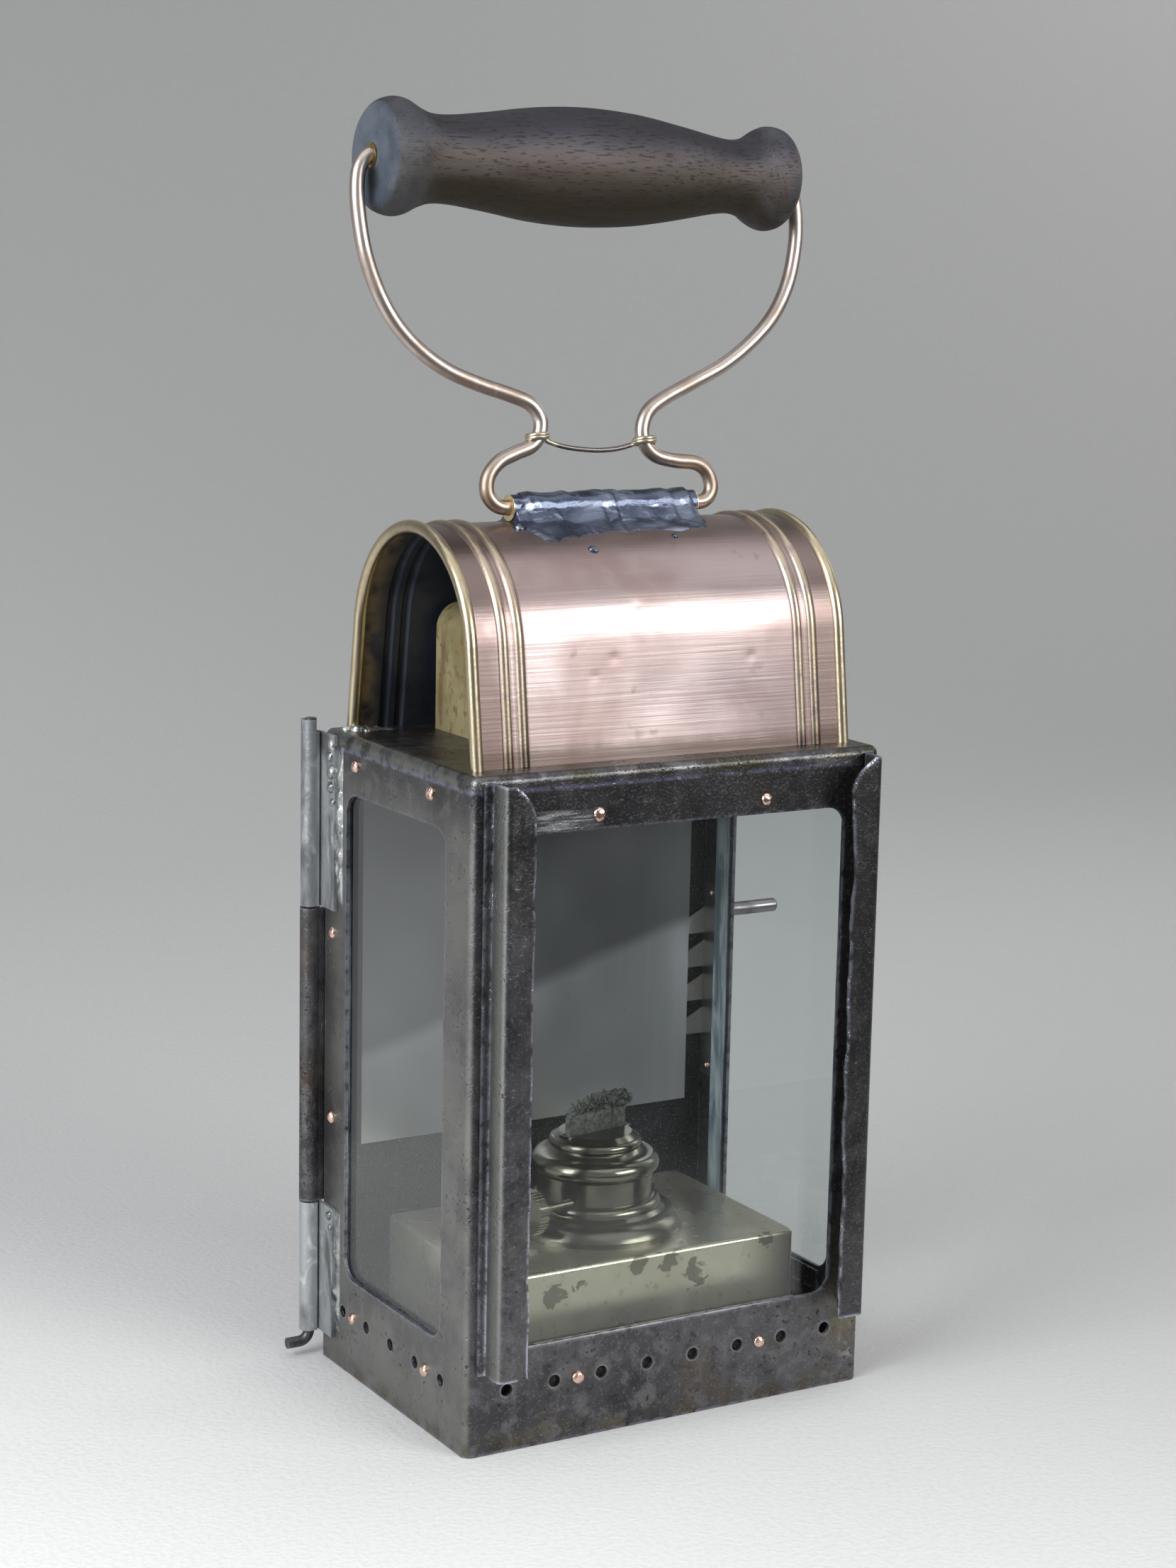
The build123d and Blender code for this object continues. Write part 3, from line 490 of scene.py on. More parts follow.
def soot_marks(f):
    """Soot on the faces that look in towards the middle of the lantern."""
    inwards = f.step(f.facing(f.vector("MULTIPLY", f.place, (1, 1, 0))), -0.02, -0.03)
    covered = inwards * f.step(f.x, body_low.x - 0.0002, body_low.x + 0.0002)
    f.coat(covered * (0.75 + 0.2 * f.grain(70, 4)), (0.012, 0.012, 0.014))


def tray_marks(f):
    """Nearly black all over: painted shade for the dark inside of the base seen through the vents."""
    f.coat(0.75 + 0.2 * f.grain(70, 4), (0.008, 0.008, 0.009))


def wall_marks(f):
    """Soot inside, a left side painted lighter as sheen, a front painted darker towards the top as shade,
    rusty vents, stains and a rubbed patch.
    """
    # Painted sheen: the left side below the top rail made lighter.
    left = f.step(f.facing((-1, 0, 0)), 0.4, 0.8) * f.step(f.z, 0.142, 0.128)
    left_sheen = left * (0.45 + 0.55 * f.patch(0.32, 0.62, 75, 5))
    f.coat(left_sheen * 0.8, (0.245, 0.245, 0.228))
    # Painted shade: the front darkened, more towards the top.
    front = f.step(f.y, -0.0335, -0.034)
    dark = f.step(f.z, 0.01, 0.12) * (0.35 + 0.5 * f.grain(55, 4))
    f.coat(front * dark, (0.03, 0.03, 0.032))
    along_front = f.math("PINGPONG", f.x, front_vent_pitch / 2)
    along_side = f.math("PINGPONG", f.y - side_vent_shift, side_vent_pitch / 2)
    across = front * (front_vent_pitch / 2 - along_front) + (1 - front) * along_side
    level = f.z - vent_height
    reach = f.math("POWER", across * across + level * level, 0.5)
    rim = f.step(reach, 1.75 * vent_radius, 1.05 * vent_radius) * f.patch(0.38, 0.6, 300, 3)
    f.coat(rim * 0.6, (0.15, 0.125, 0.055))
    corner = f.spot((0.0474, -0.034, 0.0178), 0.015, 0.013) * f.patch(0.38, 0.62, 160, 5)
    f.coat(corner * 0.75, (0.2, 0.175, 0.115))
    stain = f.spot((0.048, -0.0342, 0.009), 0.0055, 0.004) * f.patch(0.46, 0.62, 420, 5)
    f.coat(stain * 0.8, (0.42, 0.42, 0.4))
    foot = f.step(f.z, 0.006, 0.0005) * f.patch(0.4, 0.62, 220, 4)
    f.coat(foot * 0.7, (0.115, 0.095, 0.055))
    patch = f.spot((-0.0285, -0.0342, 0.1337), 0.0095, 0.004)
    patch = patch * f.step(abs(f.z - 0.1337), 0.0028, 0.0014)
    f.coat(patch * 0.5, (0.2, 0.205, 0.215))
    scratch = patch * f.patch(0.46, 0.62, 1, 4, (110, 110, 1500))
    f.coat(scratch * 0.85, (0.52, 0.53, 0.55))
    soot_marks(f)


def roof_marks(f):
    """Oily green-black patches, a wash of solder along the left edge and light scratches."""
    oil = f.patch(0.45, 0.6, 55, 4, warp=0.6)
    f.coat(oil * 0.8, (0.05, 0.049, 0.032))
    wash = f.step(f.x + 0.006 * f.grain(90, 4), body_low.x + 0.009, body_low.x + 0.002)
    f.coat(wash * f.patch(0.4, 0.58, 210, 5) * 0.75, (0.24, 0.25, 0.235))
    scratch = f.patch(0.66, 0.72, 1, 2, (40, 1400, 40)) * f.patch(0.45, 0.6, 30, 2)
    f.coat(scratch * 0.6, (0.3, 0.28, 0.24))


@painted
def leaf_steel(f):
    smear = f.patch(0.36, 0.54, 120, 6, (1, 1, 0.4), 0.8)
    bright = f.patch(0.55, 0.7, 300, 5, (1, 1, 0.5), 1.2)
    f.base(smear, (0.15, 0.152, 0.155), (0.4, 0.42, 0.43))
    f.coat(bright * smear * 0.8, (0.68, 0.69, 0.68))
    # Painted shade: the barrel of the upper leaf darkened.
    barrel_shade = f.step(f.x, hinge.x + 0.0012, hinge.x + 0.0002) * f.step(f.z, 0.08, 0.09)
    f.coat(barrel_shade * (0.7 - 0.3 * smear), (0.07, 0.074, 0.085))
    edge = f.worn_edge(0.0008)
    f.coat(edge * 0.5, (0.36, 0.37, 0.4))
    return f.surface(0.7, 0.36 + 0.25 * f.grain(200, 3), f.grain(380, 5, warp=0.8), 0.00025)


def grey_solder(name, low, high, bright):
    f = Finish(name)
    wipe = f.grain(1, 4, (110, 260, 260), 1.6)
    dull = f.patch(0.36, 0.66, 120, 4)
    f.base(dull, low, high)
    # Lighter streaks along the wipes: a painted highlight in the lead solder, whiter solder in the pale
    # solder.
    f.coat(f.step(wipe, 0.56, 0.72) * 0.6, bright)
    rim = f.step(abs(f.x), 0.02285, 0.0229)
    tube = f.step(f.z, tube_height - 0.003, tube_height - 0.0028)
    f.coat(rim * tube, (0.8, 0.66, 0.36))
    return f.surface(0.85, 0.27 + 0.16 * dull, wipe + 0.2 * f.grain(700, 3), 0.0003)


@painted
def hood_copper(f):
    hair = f.grain(1, 4, (30, 1700, 1700))
    band = f.grain(1, 3, (18, 110, 110))
    patina = f.patch(0.42, 0.68, 36, 5, warp=0.5)
    f.base(f.step(band, 0.3, 0.7), (0.43, 0.345, 0.335), (0.53, 0.455, 0.45))
    f.coat(patina * 0.7, (0.3, 0.212, 0.198))
    f.coat(f.step(hair, 0.55, 0.75) * 0.25, (0.64, 0.55, 0.53))
    stain = f.patch(0.64, 0.72, 150, 4)
    f.coat(stain * 0.4, (0.2, 0.14, 0.12))
    # Painted shade: the copper darkened low on the right.
    shade = f.step(f.x, -0.01, 0.03) * f.step(f.z, roof_top + 0.032, roof_top + 0.012)
    f.coat(shade * 0.6, (0.21, 0.172, 0.172))
    crown = f.step(f.z, roof_top + 0.03, roof_top + 0.043)
    f.coat(crown * 0.6, (0.25, 0.18, 0.165))
    # Painted shade: the copper darkened outside the outer beads at both ends.
    outer_band_shade = f.step(abs(f.x), bead_places[1] + 0.0008, bead_places[1] + 0.002)
    f.coat(outer_band_shade * 0.7, (0.17, 0.125, 0.11))
    for place in bead_places:
        bead = f.step(abs(abs(f.x) - place), 0.0013, 0.0007)
        f.coat(bead * f.patch(0.28, 0.5, 240, 3) * 0.8, (0.52, 0.43, 0.31))
        seam = abs(abs(abs(f.x) - place) - 0.00135)
        f.coat(f.step(seam, 0.0004, 0.0) * 0.5, (0.15, 0.1, 0.075))
    foot = f.step(f.z - 0.004 * f.grain(120, 4), roof_top + 0.0035, roof_top - 0.001)
    f.coat(foot * 0.75, (0.1, 0.07, 0.055))
    return f.surface(1.0, 0.28 + 0.1 * hair + 0.1 * patina, hair, 0.00003)


@painted
def hood_soot(f):
    soot = f.patch(0.35, 0.6, 60, 5)
    f.base(soot, (0.04, 0.046, 0.062), (0.016, 0.022, 0.036))
    lip = f.step(abs(f.x), hood_half - 0.007, hood_half) * f.patch(0.35, 0.6, 160, 4)
    f.coat(lip, (0.26, 0.19, 0.1))
    return f.surface(0.6, 0.42 + 0.25 * soot, f.grain(500, 4), 0.0001)


def rubbed_brass(name, bright, dark, tarnish):
    f = Finish(name)
    cloud = f.patch(0.42, 0.7, 110, 4) * tarnish
    speck = f.patch(0.58, 0.72, 700, 3) * tarnish
    f.base(cloud, bright, dark)
    f.coat(speck * 0.5, dark)
    return f.surface(1.0, 0.3 + 0.3 * cloud, f.grain(500, 2), 0.00004)


@painted
def vane_brass(f):
    cloud = f.patch(0.35, 0.65, 90, 5)
    streak = f.patch(0.52, 0.68, 1, 4, (150, 150, 22))
    f.base(cloud, (0.62, 0.53, 0.3), (0.3, 0.26, 0.13))
    f.coat(streak * 0.8, (0.22, 0.12, 0.05))
    rust = f.patch(0.53, 0.65, 430, 4)
    f.coat(rust * 0.6, (0.25, 0.12, 0.035))
    return f.surface(0.6, 0.38 + 0.25 * cloud, f.grain(420, 4), 0.00012)


@painted
def bail_metal(f):
    cloud = f.patch(0.38, 0.68, 90, 4)
    draw = f.grain(1, 3, (500, 500, 60))
    f.base(cloud, (0.54, 0.465, 0.425), (0.38, 0.3, 0.255))
    f.coat(f.step(draw, 0.55, 0.75) * 0.4, (0.66, 0.59, 0.54))
    low = f.step(f.z, tube_height + 0.018, tube_height + 0.004)
    f.coat(low * 0.6, (0.36, 0.27, 0.19))
    return f.surface(1.0, 0.36 + 0.14 * cloud, f.grain(500, 2), 0.00004)


@painted
def tie_metal(f):
    ring = f.step(abs(f.x + 0.0009), 0.0088, 0.0098)
    f.base(ring, (0.17, 0.16, 0.15), (0.58, 0.52, 0.4))
    f.coat(f.patch(0.5, 0.7, 800, 3) * 0.5, (0.24, 0.16, 0.09))
    return f.surface(0.95, 0.3 + 0.15 * f.grain(500, 2), f.grain(900, 2), 0.00005)


@painted
def grip_wood(f):
    grain = f.grain(1, 5, (34, 1300, 1300), 0.3)
    figure = f.grain(1, 4, (16, 240, 240), 0.8)
    pores = f.patch(0.57, 0.66, 1, 3, (320, 2600, 2600))
    cloud = f.grain(38, 5)
    f.base(f.step(figure, 0.34, 0.66), (0.054, 0.046, 0.047), (0.122, 0.108, 0.112))
    f.coat(f.step(grain, 0.46, 0.68) * 0.22, (0.16, 0.148, 0.155))
    f.coat(f.step(cloud, 0.52, 0.66) * 0.35, (0.15, 0.128, 0.118))
    # Painted light and shade by which way the surface faces: a bluish highlight on the upper front, brown on
    # the lower front, and the top and the underside darkened.
    for direction, low, high, amount, tone in (
        ((0, -0.75, 0.66), 0.5, 0.95, 0.5, (0.142, 0.14, 0.172)),
        ((0, -0.85, -0.5), 0.35, 0.85, 0.55, (0.088, 0.064, 0.042)),
        ((0, -0.2, 0.98), 0.3, 0.85, 0.85, (0.011, 0.01, 0.013)),
        ((0, -0.2, -0.98), 0.1, 0.75, 0.85, (0.016, 0.012, 0.005)),
    ):
        side = f.step(f.facing(direction) + 0.3 * (cloud - 0.5), low, high)
        f.coat(side * amount, tone)
    f.coat(pores * 0.6, (0.012, 0.009, 0.008))
    end = f.step(abs(f.x), grip_half - 0.0125, grip_half - 0.005)
    flat = f.step(abs(f.facing(tuple(grip_axis))), 0.55, 0.9) * end
    slate = f.blend(f.patch(0.35, 0.65, 110, 5), (0.052, 0.064, 0.086), (0.092, 0.106, 0.128))
    f.coat(end * 0.6 * f.patch(0.36, 0.6, 90, 4), (0.062, 0.068, 0.078))
    f.coat(flat, slate)
    rim = f.worn_edge(0.0014) * f.patch(0.35, 0.6, 260, 4) * end
    f.coat(rim * 0.7, (0.24, 0.235, 0.22))
    # A worn groove below the bore, with a painted shadow of the wire in it.
    worn_groove_and_wire_shadow = tuple(grip_middle - grip_half * grip_axis - 0.0048 * bail_up)
    f.coat(f.spot(worn_groove_and_wire_shadow, 0.0042, 0.003) * flat * 0.85, (0.016, 0.017, 0.02))
    return f.surface(0.0, 0.48 + 0.2 * cloud, 0.8 * grain - 0.8 * pores, 0.00008, 0.15)


def clear_glass(name, flat, lap):
    f = Finish(name)
    rim = f.step(abs(f.facing(flat)), 0.7, 0.4)
    smudge = f.patch(0.35, 0.75, 26, 2, (1, 1, 0.5))
    clear = {"Base Color": (0.93, 0.965, 0.96), "Roughness": 0.0, "IOR": 1.48, "Transmission Weight": 1.0}
    pane = f.node("BsdfPrincipled", clear)
    frost = f.grain(260, 5, (1, 1, 0.22), 0.6)
    tint = f.blend(f.step(frost, 0.38, 0.64), (0.085, 0.125, 0.145), (0.3, 0.35, 0.365))
    cut = f.node("BsdfPrincipled", {"Base Color": tint, "Roughness": 0.28})
    dust = f.node("BsdfPrincipled", {"Base Color": (0.5, 0.52, 0.52), "Roughness": 0.7})
    dusty = f.node("MixShader", {0: 0.001 + 0.003 * smudge, 1: pane, 2: dust})
    frosted = f.step(f.y + 0.0008 * frost, lap, lap + 0.0008) * (0.62 + 0.3 * frost)
    both = f.math("MAXIMUM", rim * 0.9, frosted)
    return f.close(f.node("MixShader", {0: both, 1: dusty, 2: cut}))


@painted
def mirror_tin(f):
    cloud = f.patch(0.25, 0.75, 48, 1, (1, 1, 0.7))
    streak = f.grain(1, 3, (420, 420, 14))
    f.base(cloud, (0.3, 0.306, 0.318), (0.41, 0.416, 0.435))
    f.coat(f.step(streak, 0.52, 0.75) * 0.3, (0.4, 0.4, 0.41))
    # Painted reflection: the tin darkened above a slanted line.
    slope = f.z - 0.27 * f.x + 0.003 * f.grain(60, 1)
    f.coat(f.step(slope, 0.081, 0.086) * 0.7, (0.055, 0.058, 0.06))
    low = f.step(f.z, 0.085, 0.055)
    f.coat(low * 0.5, (0.13, 0.135, 0.145))
    speck = f.patch(0.66, 0.78, 900, 3)
    f.coat(speck * 0.3, (0.14, 0.13, 0.12))
    return f.surface(0.9, 0.3 + 0.06 * cloud, streak, 0.00003)


def worn_nickel(name, bright, dull, shine, worn, stained=False):
    f = Finish(name)
    cloud = f.patch(0.32, 0.7, 55, 5, warp=0.4)
    f.base(cloud, bright, dull)
    speck = f.patch(0.6, 0.72, 620, 4)
    f.coat(speck * 0.35, (0.14, 0.12, 0.08))
    if stained:
        ragged = f.grain(330, 6, (1, 1, 1.4), 0.6)
        for x, z, reach in font_stains:
            thick = f.spot((x, font_front, z), reach, 0.9 * reach)
            blot = f.step(ragged + 0.34 * thick, 0.66, 0.74) * f.step(thick, 0.02, 0.15)
            f.coat(blot * 0.8, (0.085, 0.078, 0.052))
    edge = f.worn_edge(0.0007)
    f.coat(edge * worn, (0.74, 0.7, 0.56))
    return f.surface(0.95, shine + 0.14 * cloud, f.grain(420, 3), 0.00004)


@painted
def wick_cotton(f):
    fleck = f.grain(900, 4)
    weave = f.grain(1, 2, (1200, 1200, 300))
    f.base(f.step(fleck, 0.35, 0.65), (0.02, 0.022, 0.02), (0.104, 0.112, 0.1))
    low = f.step(f.z, fray_from + 0.001, cap_top + 0.002)
    f.coat(low * 0.55, (0.022, 0.024, 0.02))
    pale = f.step(f.z, cap_top - 0.001, cap_top - 0.006)
    f.coat(pale * 0.7, (0.3, 0.27, 0.2))
    return f.surface(0.0, 0.85 + 0.1 * weave, weave + fleck, 0.0003)


@painted
def rivet_copper(f):
    dark = f.patch(0.52, 0.68, 700, 4)
    f.base(dark, (0.82, 0.57, 0.47), (0.36, 0.2, 0.15))
    return f.surface(1.0, 0.24 + 0.2 * dark, f.grain(1300, 2), 0.0002)


def wear(names, material):
    for name in names.split():
        nodes[name].data.materials.clear()
        nodes[name].data.materials.append(material)


wear("body_wall", dark_steel("wall_steel", 0.45, 0.3, wall_marks))
# The roof's rounded edges carry a bluish painted highlight.
wear("roof_cap", dark_steel("roof_steel", 0.35, 0.28, roof_marks, (0.3, 0.31, 0.56)))
wear("hinge_pin", dark_steel("plain_steel", 0.5, 0.34))
wear("rear_door", dark_steel("door_steel", 0.45, 0.32, soot_marks))
tray_steel = dark_steel("tray_steel", 0.3, 0.45, tray_marks)
wear("base_tray front_clip_low front_clip_high", tray_steel)
wear("left_clip_low left_clip_high right_clip_low right_clip_high", tray_steel)
# The channels' rounded bends carry a bright bluish painted highlight.
channel_steel = dark_steel("channel_steel", 0.35, 0.24, channel_marks, (0.72, 0.75, 0.92))
# The lead solder's bright tone is a painted highlight on its wipes.
lead_solder = grey_solder("lead_solder", (0.078, 0.092, 0.135), (0.15, 0.172, 0.232), (0.44, 0.48, 0.6))
pale_solder = grey_solder("pale_solder", (0.24, 0.255, 0.255), (0.52, 0.54, 0.52), (0.78, 0.8, 0.76))
wear("crown_tube", lead_solder)
edging_brass = rubbed_brass("edging_brass", (0.55, 0.47, 0.33), (0.26, 0.19, 0.11), 0.4)
wear("left_edging right_edging", edging_brass)
wear("left_comb right_comb", rubbed_brass("comb_tin", (0.46, 0.455, 0.44), (0.16, 0.14, 0.12), 0.5))
wear("door_stud", rubbed_brass("stud_metal", (0.3, 0.285, 0.3), (0.12, 0.1, 0.1), 0.8))
wear("grip_liner", rubbed_brass("liner_brass", (0.62, 0.46, 0.2), (0.1, 0.07, 0.03), 0.8))
wear("baffle", vane_brass)
wear("reflector", mirror_tin)
font_nickel = worn_nickel("font_nickel", (0.46, 0.44, 0.335), (0.37, 0.35, 0.26), 0.24, 0.6, True)
wear("font font_bottom", font_nickel)
burner_nickel = worn_nickel("burner_nickel", (0.18, 0.172, 0.138), (0.095, 0.091, 0.073), 0.14, 0.05)
wear("burner_collar burner_base burner_cap wick_tube spindle wick_wheels wick_knob", burner_nickel)
for name, flat, lap in (
    ("left_glass", (1, 0, 0), side_window_rear + left_lap),
    ("right_glass", (1, 0, 0), side_window_rear),
    ("front_glass", (0, 1, 0), body_high.y),
):
    wear(name, clear_glass(name, flat, lap))
    nodes[name].visible_shadow = False


# Recipes
def wire_recipe():
    r = Recipe("bent_wire", ["Wire radius"], "Sides")
    line = r.node("MeshToCurve", {0: r.given})
    return r.close(r.tube(line, r.given["Sides"], r.amounts[0]))


def rivet_recipe():
    r = Recipe("rivet_heads", ["Head radius", "Dome", "Shank radius", "Reach"], "Seed")
    radius, dome, shank_radius, reach = r.amounts
    ball = r.node("MeshIcoSphere", {"Radius": 1.0, "Subdivisions": 4})
    size = r.node("CombineXYZ", {0: radius, 1: radius, 2: dome})
    head = r.node("Transform", {"Geometry": ball, "Scale": size})
    sockets = {"Vertices": 20, "Radius": shank_radius, "Depth": reach}
    shank = r.node("MeshCylinder", sockets)
    down = r.node("CombineXYZ", {2: -0.5 * reach})
    shank = r.node("Transform", {"Geometry": shank, "Translation": down})
    out = r.named("out", "FLOAT_VECTOR")
    facing = r.node("AlignRotationToVector", {"Vector": out}, axis="Z")
    heads = r.set_out(r.given, r.join(head, shank), facing, r.vary(0.92, 1.08))
    real = r.node("RealizeInstances", {0: heads})
    place = r.node("InputPosition")
    dent = r.node("TexNoise", {"Vector": place, "Scale": 900.0}, noise_dimensions="3D")
    middle = r.vector("SUBTRACT", dent["Color"], (0.5, 0.5, 0.5))
    push = r.node("VectorMath", {0: middle, "Scale": 0.0002}, operation="SCALE")
    return r.close(r.node("SetPosition", {"Geometry": real, "Offset": push}))


def fuzz_recipe():
    r = Recipe("wick_fuzz", ["Density", "Strand length", "Strand radius"], "Seed")
    density, length, radius = r.amounts
    fray = r.named("fray", "FLOAT")
    sockets = {"Mesh": r.given, "Density": density * fray, "Seed": r.given["Seed"]}
    spots = r.node("DistributePointsOnFaces", sockets)
    tip = r.node("CombineXYZ", {2: length})
    side = r.node("CombineXYZ", {0: 0.35 * length, 2: 0.6 * length})
    sockets = {"Resolution": 4, "Start": (0, 0, 0), "Middle": side, "End": tip}
    strand = r.tube(r.node("CurveQuadraticBezier", sockets), 3, radius)
    sockets = {0: (-0.9, -0.9, -3.14), 1: (0.9, 0.9, 3.14), "Seed": r.given["Seed"]}
    turn = r.node("RandomValue", sockets, data_type="FLOAT_VECTOR")
    spin = r.node("EulerToRotation", {0: turn["Value"]})
    sockets = {0: spots["Rotation"], 1: spin}
    aim = r.node("RotateRotation", sockets, rotation_space="LOCAL")
    strands = r.set_out(spots, strand, aim, r.vary(0.4, 1.3) * (0.15 + 0.85 * fray))
    return r.close(r.join(r.given, strands))


bent_wire = wire_recipe()
rivet_heads = rivet_recipe()
wick_fuzz = fuzz_recipe()


def wire_piece(name, route, radius, material, sides):
    line = add_piece(name, route, [], edges=[(i, i + 1) for i in range(len(route) - 1)])
    return follow(line, bent_wire, {"Wire radius": radius, "Sides": sides, "Finish": material})


# Rivets
def rivet_piece(name, spots, out):
    points = add_piece(name, spots, [])
    facing = points.data.attributes.new("out", "FLOAT_VECTOR", "POINT")
    facing.data.foreach_set("vector", list(out) * len(spots))
    values = {"Head radius": rivet_radius, "Dome": rivet_dome, "Shank radius": rivet_shank}
    values.update({"Reach": rivet_reach, "Seed": rivet_seed, "Finish": rivet_copper})
    return follow(points, rivet_heads, values)


front_spots = [(s * front_low_rivet_x, body_low.y, low_rivets) for s in (-1, 1)]
front_spots += [(s * front_high_rivet_x, body_low.y, front_high_rivets) for s in (-1, 1)]
side_spots = [
    (side_rivet_middle + s * side_rivet_spread, z) for z in (low_rivets, side_high_rivets) for s in (-1, 1)
]
side_spots += [(comb_rivet_y, z) for z in comb_rivet_heights]
left_spots = [(body_low.x, y, z) for y, z in side_spots]
right_spots = [(body_high.x, y, z) for y, z in side_spots]
fit(rivet_piece("front_rivet_heads", front_spots, (0, -1, 0)), "rivet_copper", "front_rivets")
fit(rivet_piece("left_rivet_heads", left_spots, (-1, 0, 0)), "rivet_copper", "left_rivets")
fit(rivet_piece("right_rivet_heads", right_spots, (1, 0, 0)), "rivet_copper", "right_rivets")


# Slide channels: folded strips whose free edge was cut by hand
def channel_piece(name, side, seed):
    rows = 110
    half = channel_sheet / 2
    face = body_low.y - half
    edge = body_low.y - channel_depth + half
    start = half + channel_bend
    heights = np.linspace(channel_low.z, channel_high.z, rows)
    ragged = lumps([(0, 0, z) for z in heights], 70, seed, 4)
    points = []
    for z, rag in zip(heights, ragged):
        above = min(max(0.0, z - (channel_high.z - channel_corner)), channel_corner)
        corner = channel_corner - (channel_corner**2 - above**2) ** 0.5
        reach = channel_flange - half - corner - channel_trim + channel_rag * rag
        section = [(-channel_foot, face), (-channel_fold, face), (half, face - channel_fold)]
        for turn in np.linspace(0, pi / 2, 7):
            section.append((half + channel_bend * (1 - cos(turn)), edge + channel_bend * (1 - sin(turn))))
        for share in np.linspace(0.12, 1, 9):
            bow = channel_bow * share**2 * (1 + rag)
            section.append((start + (max(reach, start + channel_fold) - start) * share, edge + bow))
        points += [(side * (channel_x - u), v, z) for u, v in section]
    return sheet_piece(name, points, rows, channel_steel, channel_sheet * 0.98)


fit(channel_piece("left_slide_channel", -1, 3.1), "blackened_steel", "left_channel")
fit(channel_piece("right_slide_channel", 1, 8.4), "blackened_steel", "right_channel")


# Hinge leaves: sheet rolled round the pin, its strap soldered to the wall
def curl(start, end, count):
    turns = np.linspace(start * pi, end * pi, count)
    return [(hinge.x + curl_radius * cos(t), hinge.y + curl_radius * sin(t)) for t in turns]


def leaf_piece(name, node, seed):
    low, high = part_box(node)
    rows = 40
    wall = body_low.x - strap_sheet / 2 - strap_gap
    points = []
    for z in np.linspace(low.z, high.z, rows):
        start = strap_front + strap_rag * noise.noise(Vector((seed, 0, z * 160)))
        section = [(wall, start + (hinge.y - start) * share) for share in np.linspace(0, 0.9, 8)]
        points += [(x, y, z) for x, y in section + curl(0.12, 1.72, 26)]
    return sheet_piece(name, points, rows, leaf_steel, strap_sheet)


def curl_piece():
    """The roll of sheet that stands open above the upper leaf."""
    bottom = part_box("hinge_leaf_high")[1].z
    rows = 8
    heights = np.linspace(bottom, bottom + curl_height, rows)
    points = [(x, y, z) for z in heights for x, y in curl(0.5, 1.55, 24)]
    return sheet_piece("hinge_curl", points, rows, leaf_steel, strap_sheet)


fit(leaf_piece("upper_hinge_leaf", "hinge_leaf_high", 2.0), "blackened_steel", "hinge_leaf_high")
fit(leaf_piece("lower_hinge_leaf", "hinge_leaf_low", 5.0), "blackened_steel", "hinge_leaf_low")
fit(curl_piece(), "blackened_steel")


# Solder smears: lumpy skins that stand a little out of the sheet below
def smear_piece(name, corner, across, up, size, depth, seed, scale=330, cover=0.45):
    rows, columns = 46, 40
    across, up = Vector(across), Vector(up)
    out = across.cross(up)
    spots = [(i / (rows - 1), j / (columns - 1)) for i in range(rows) for j in range(columns)]
    flat = [Vector(corner) + across * (size[0] * u) + up * (size[1] * v) for v, u in spots]
    rough = lumps(flat, scale, seed, 4)
    fade = np.array([min(1, 5 * min(u, 1 - u), 5 * min(v, 1 - v)) for v, u in spots])
    rise = np.clip(fade * (cover + 0.55 * rough), -0.3, 1.0) * depth - smear_sink
    top = [p + out * float(h) for p, h in zip(flat, rise)]
    base = [p - out * smear_base for p in flat]
    return add_piece(name, top + base, shell_faces(rows, columns), pale_solder, crease=80)


smear_y = strap_front + smear_inset
on_left = ((0, -1, 0), (0, 0, 1))
on_roof = ((1, 0, 0), (0, 1, 0))
smears = [
    ("upper_hinge_solder", (body_low.x, smear_y, 0.105), *on_left, (0.0044, 0.037), 0.0013, 1.3),
    ("lower_hinge_solder", (body_low.x, smear_y, 0.007), *on_left, (0.0042, 0.03), 0.001, 6.1),
    ("roof_solder", (-0.0475, 0.0265, roof_top), *on_roof, (0.012, 0.0065), 0.0012, 9.3, 420, 0.35),
]
for smear in smears:
    fit(smear_piece(*smear), "solder")


# Hood: a thin arch with two raised beads near each end and small dents
def arch(run, grow):
    """Place at a run along the arch, from the front foot over the top, grown outwards."""
    turn = pi - hood_lean - np.clip(run - hood_side, 0, hood_round) / hood_radius
    out_y, out_z = np.cos(turn), np.sin(turn)
    before = np.clip(hood_side - run, 0, hood_side)
    after = np.clip(run - hood_side - hood_round, 0, hood_side)
    y = hood_setback + hood_radius * out_y - (before - after) * sin(hood_lean)
    z = hood_centre + hood_radius * out_z - (before + after) * cos(hood_lean)
    return y + grow * out_y, z + grow * out_z


def bead_rise(x):
    rise = 0.0
    for place in bead_places:
        away = abs(abs(x) - place)
        if away < bead_radius:
            rise = (bead_radius**2 - away**2) ** 0.5 - hood_sheet / 2
    return max(rise, 0.0)


# Each dent's place across and along the arch, radius and depth
hood_dents = [
    (-0.005, 0.0318, 0.0009, 0.0001),
    (-0.0118, 0.0212, 0.001, 0.00011),
    (-0.0166, 0.0176, 0.0008, 0.00009),
    (0.0078, 0.03, 0.0008, 0.00009),
    (0.0222, 0.02, 0.0009, 0.0001),
    (-0.002, 0.012, 0.006, 0.00016),
    (0.016, 0.01, 0.007, 0.00018),
]


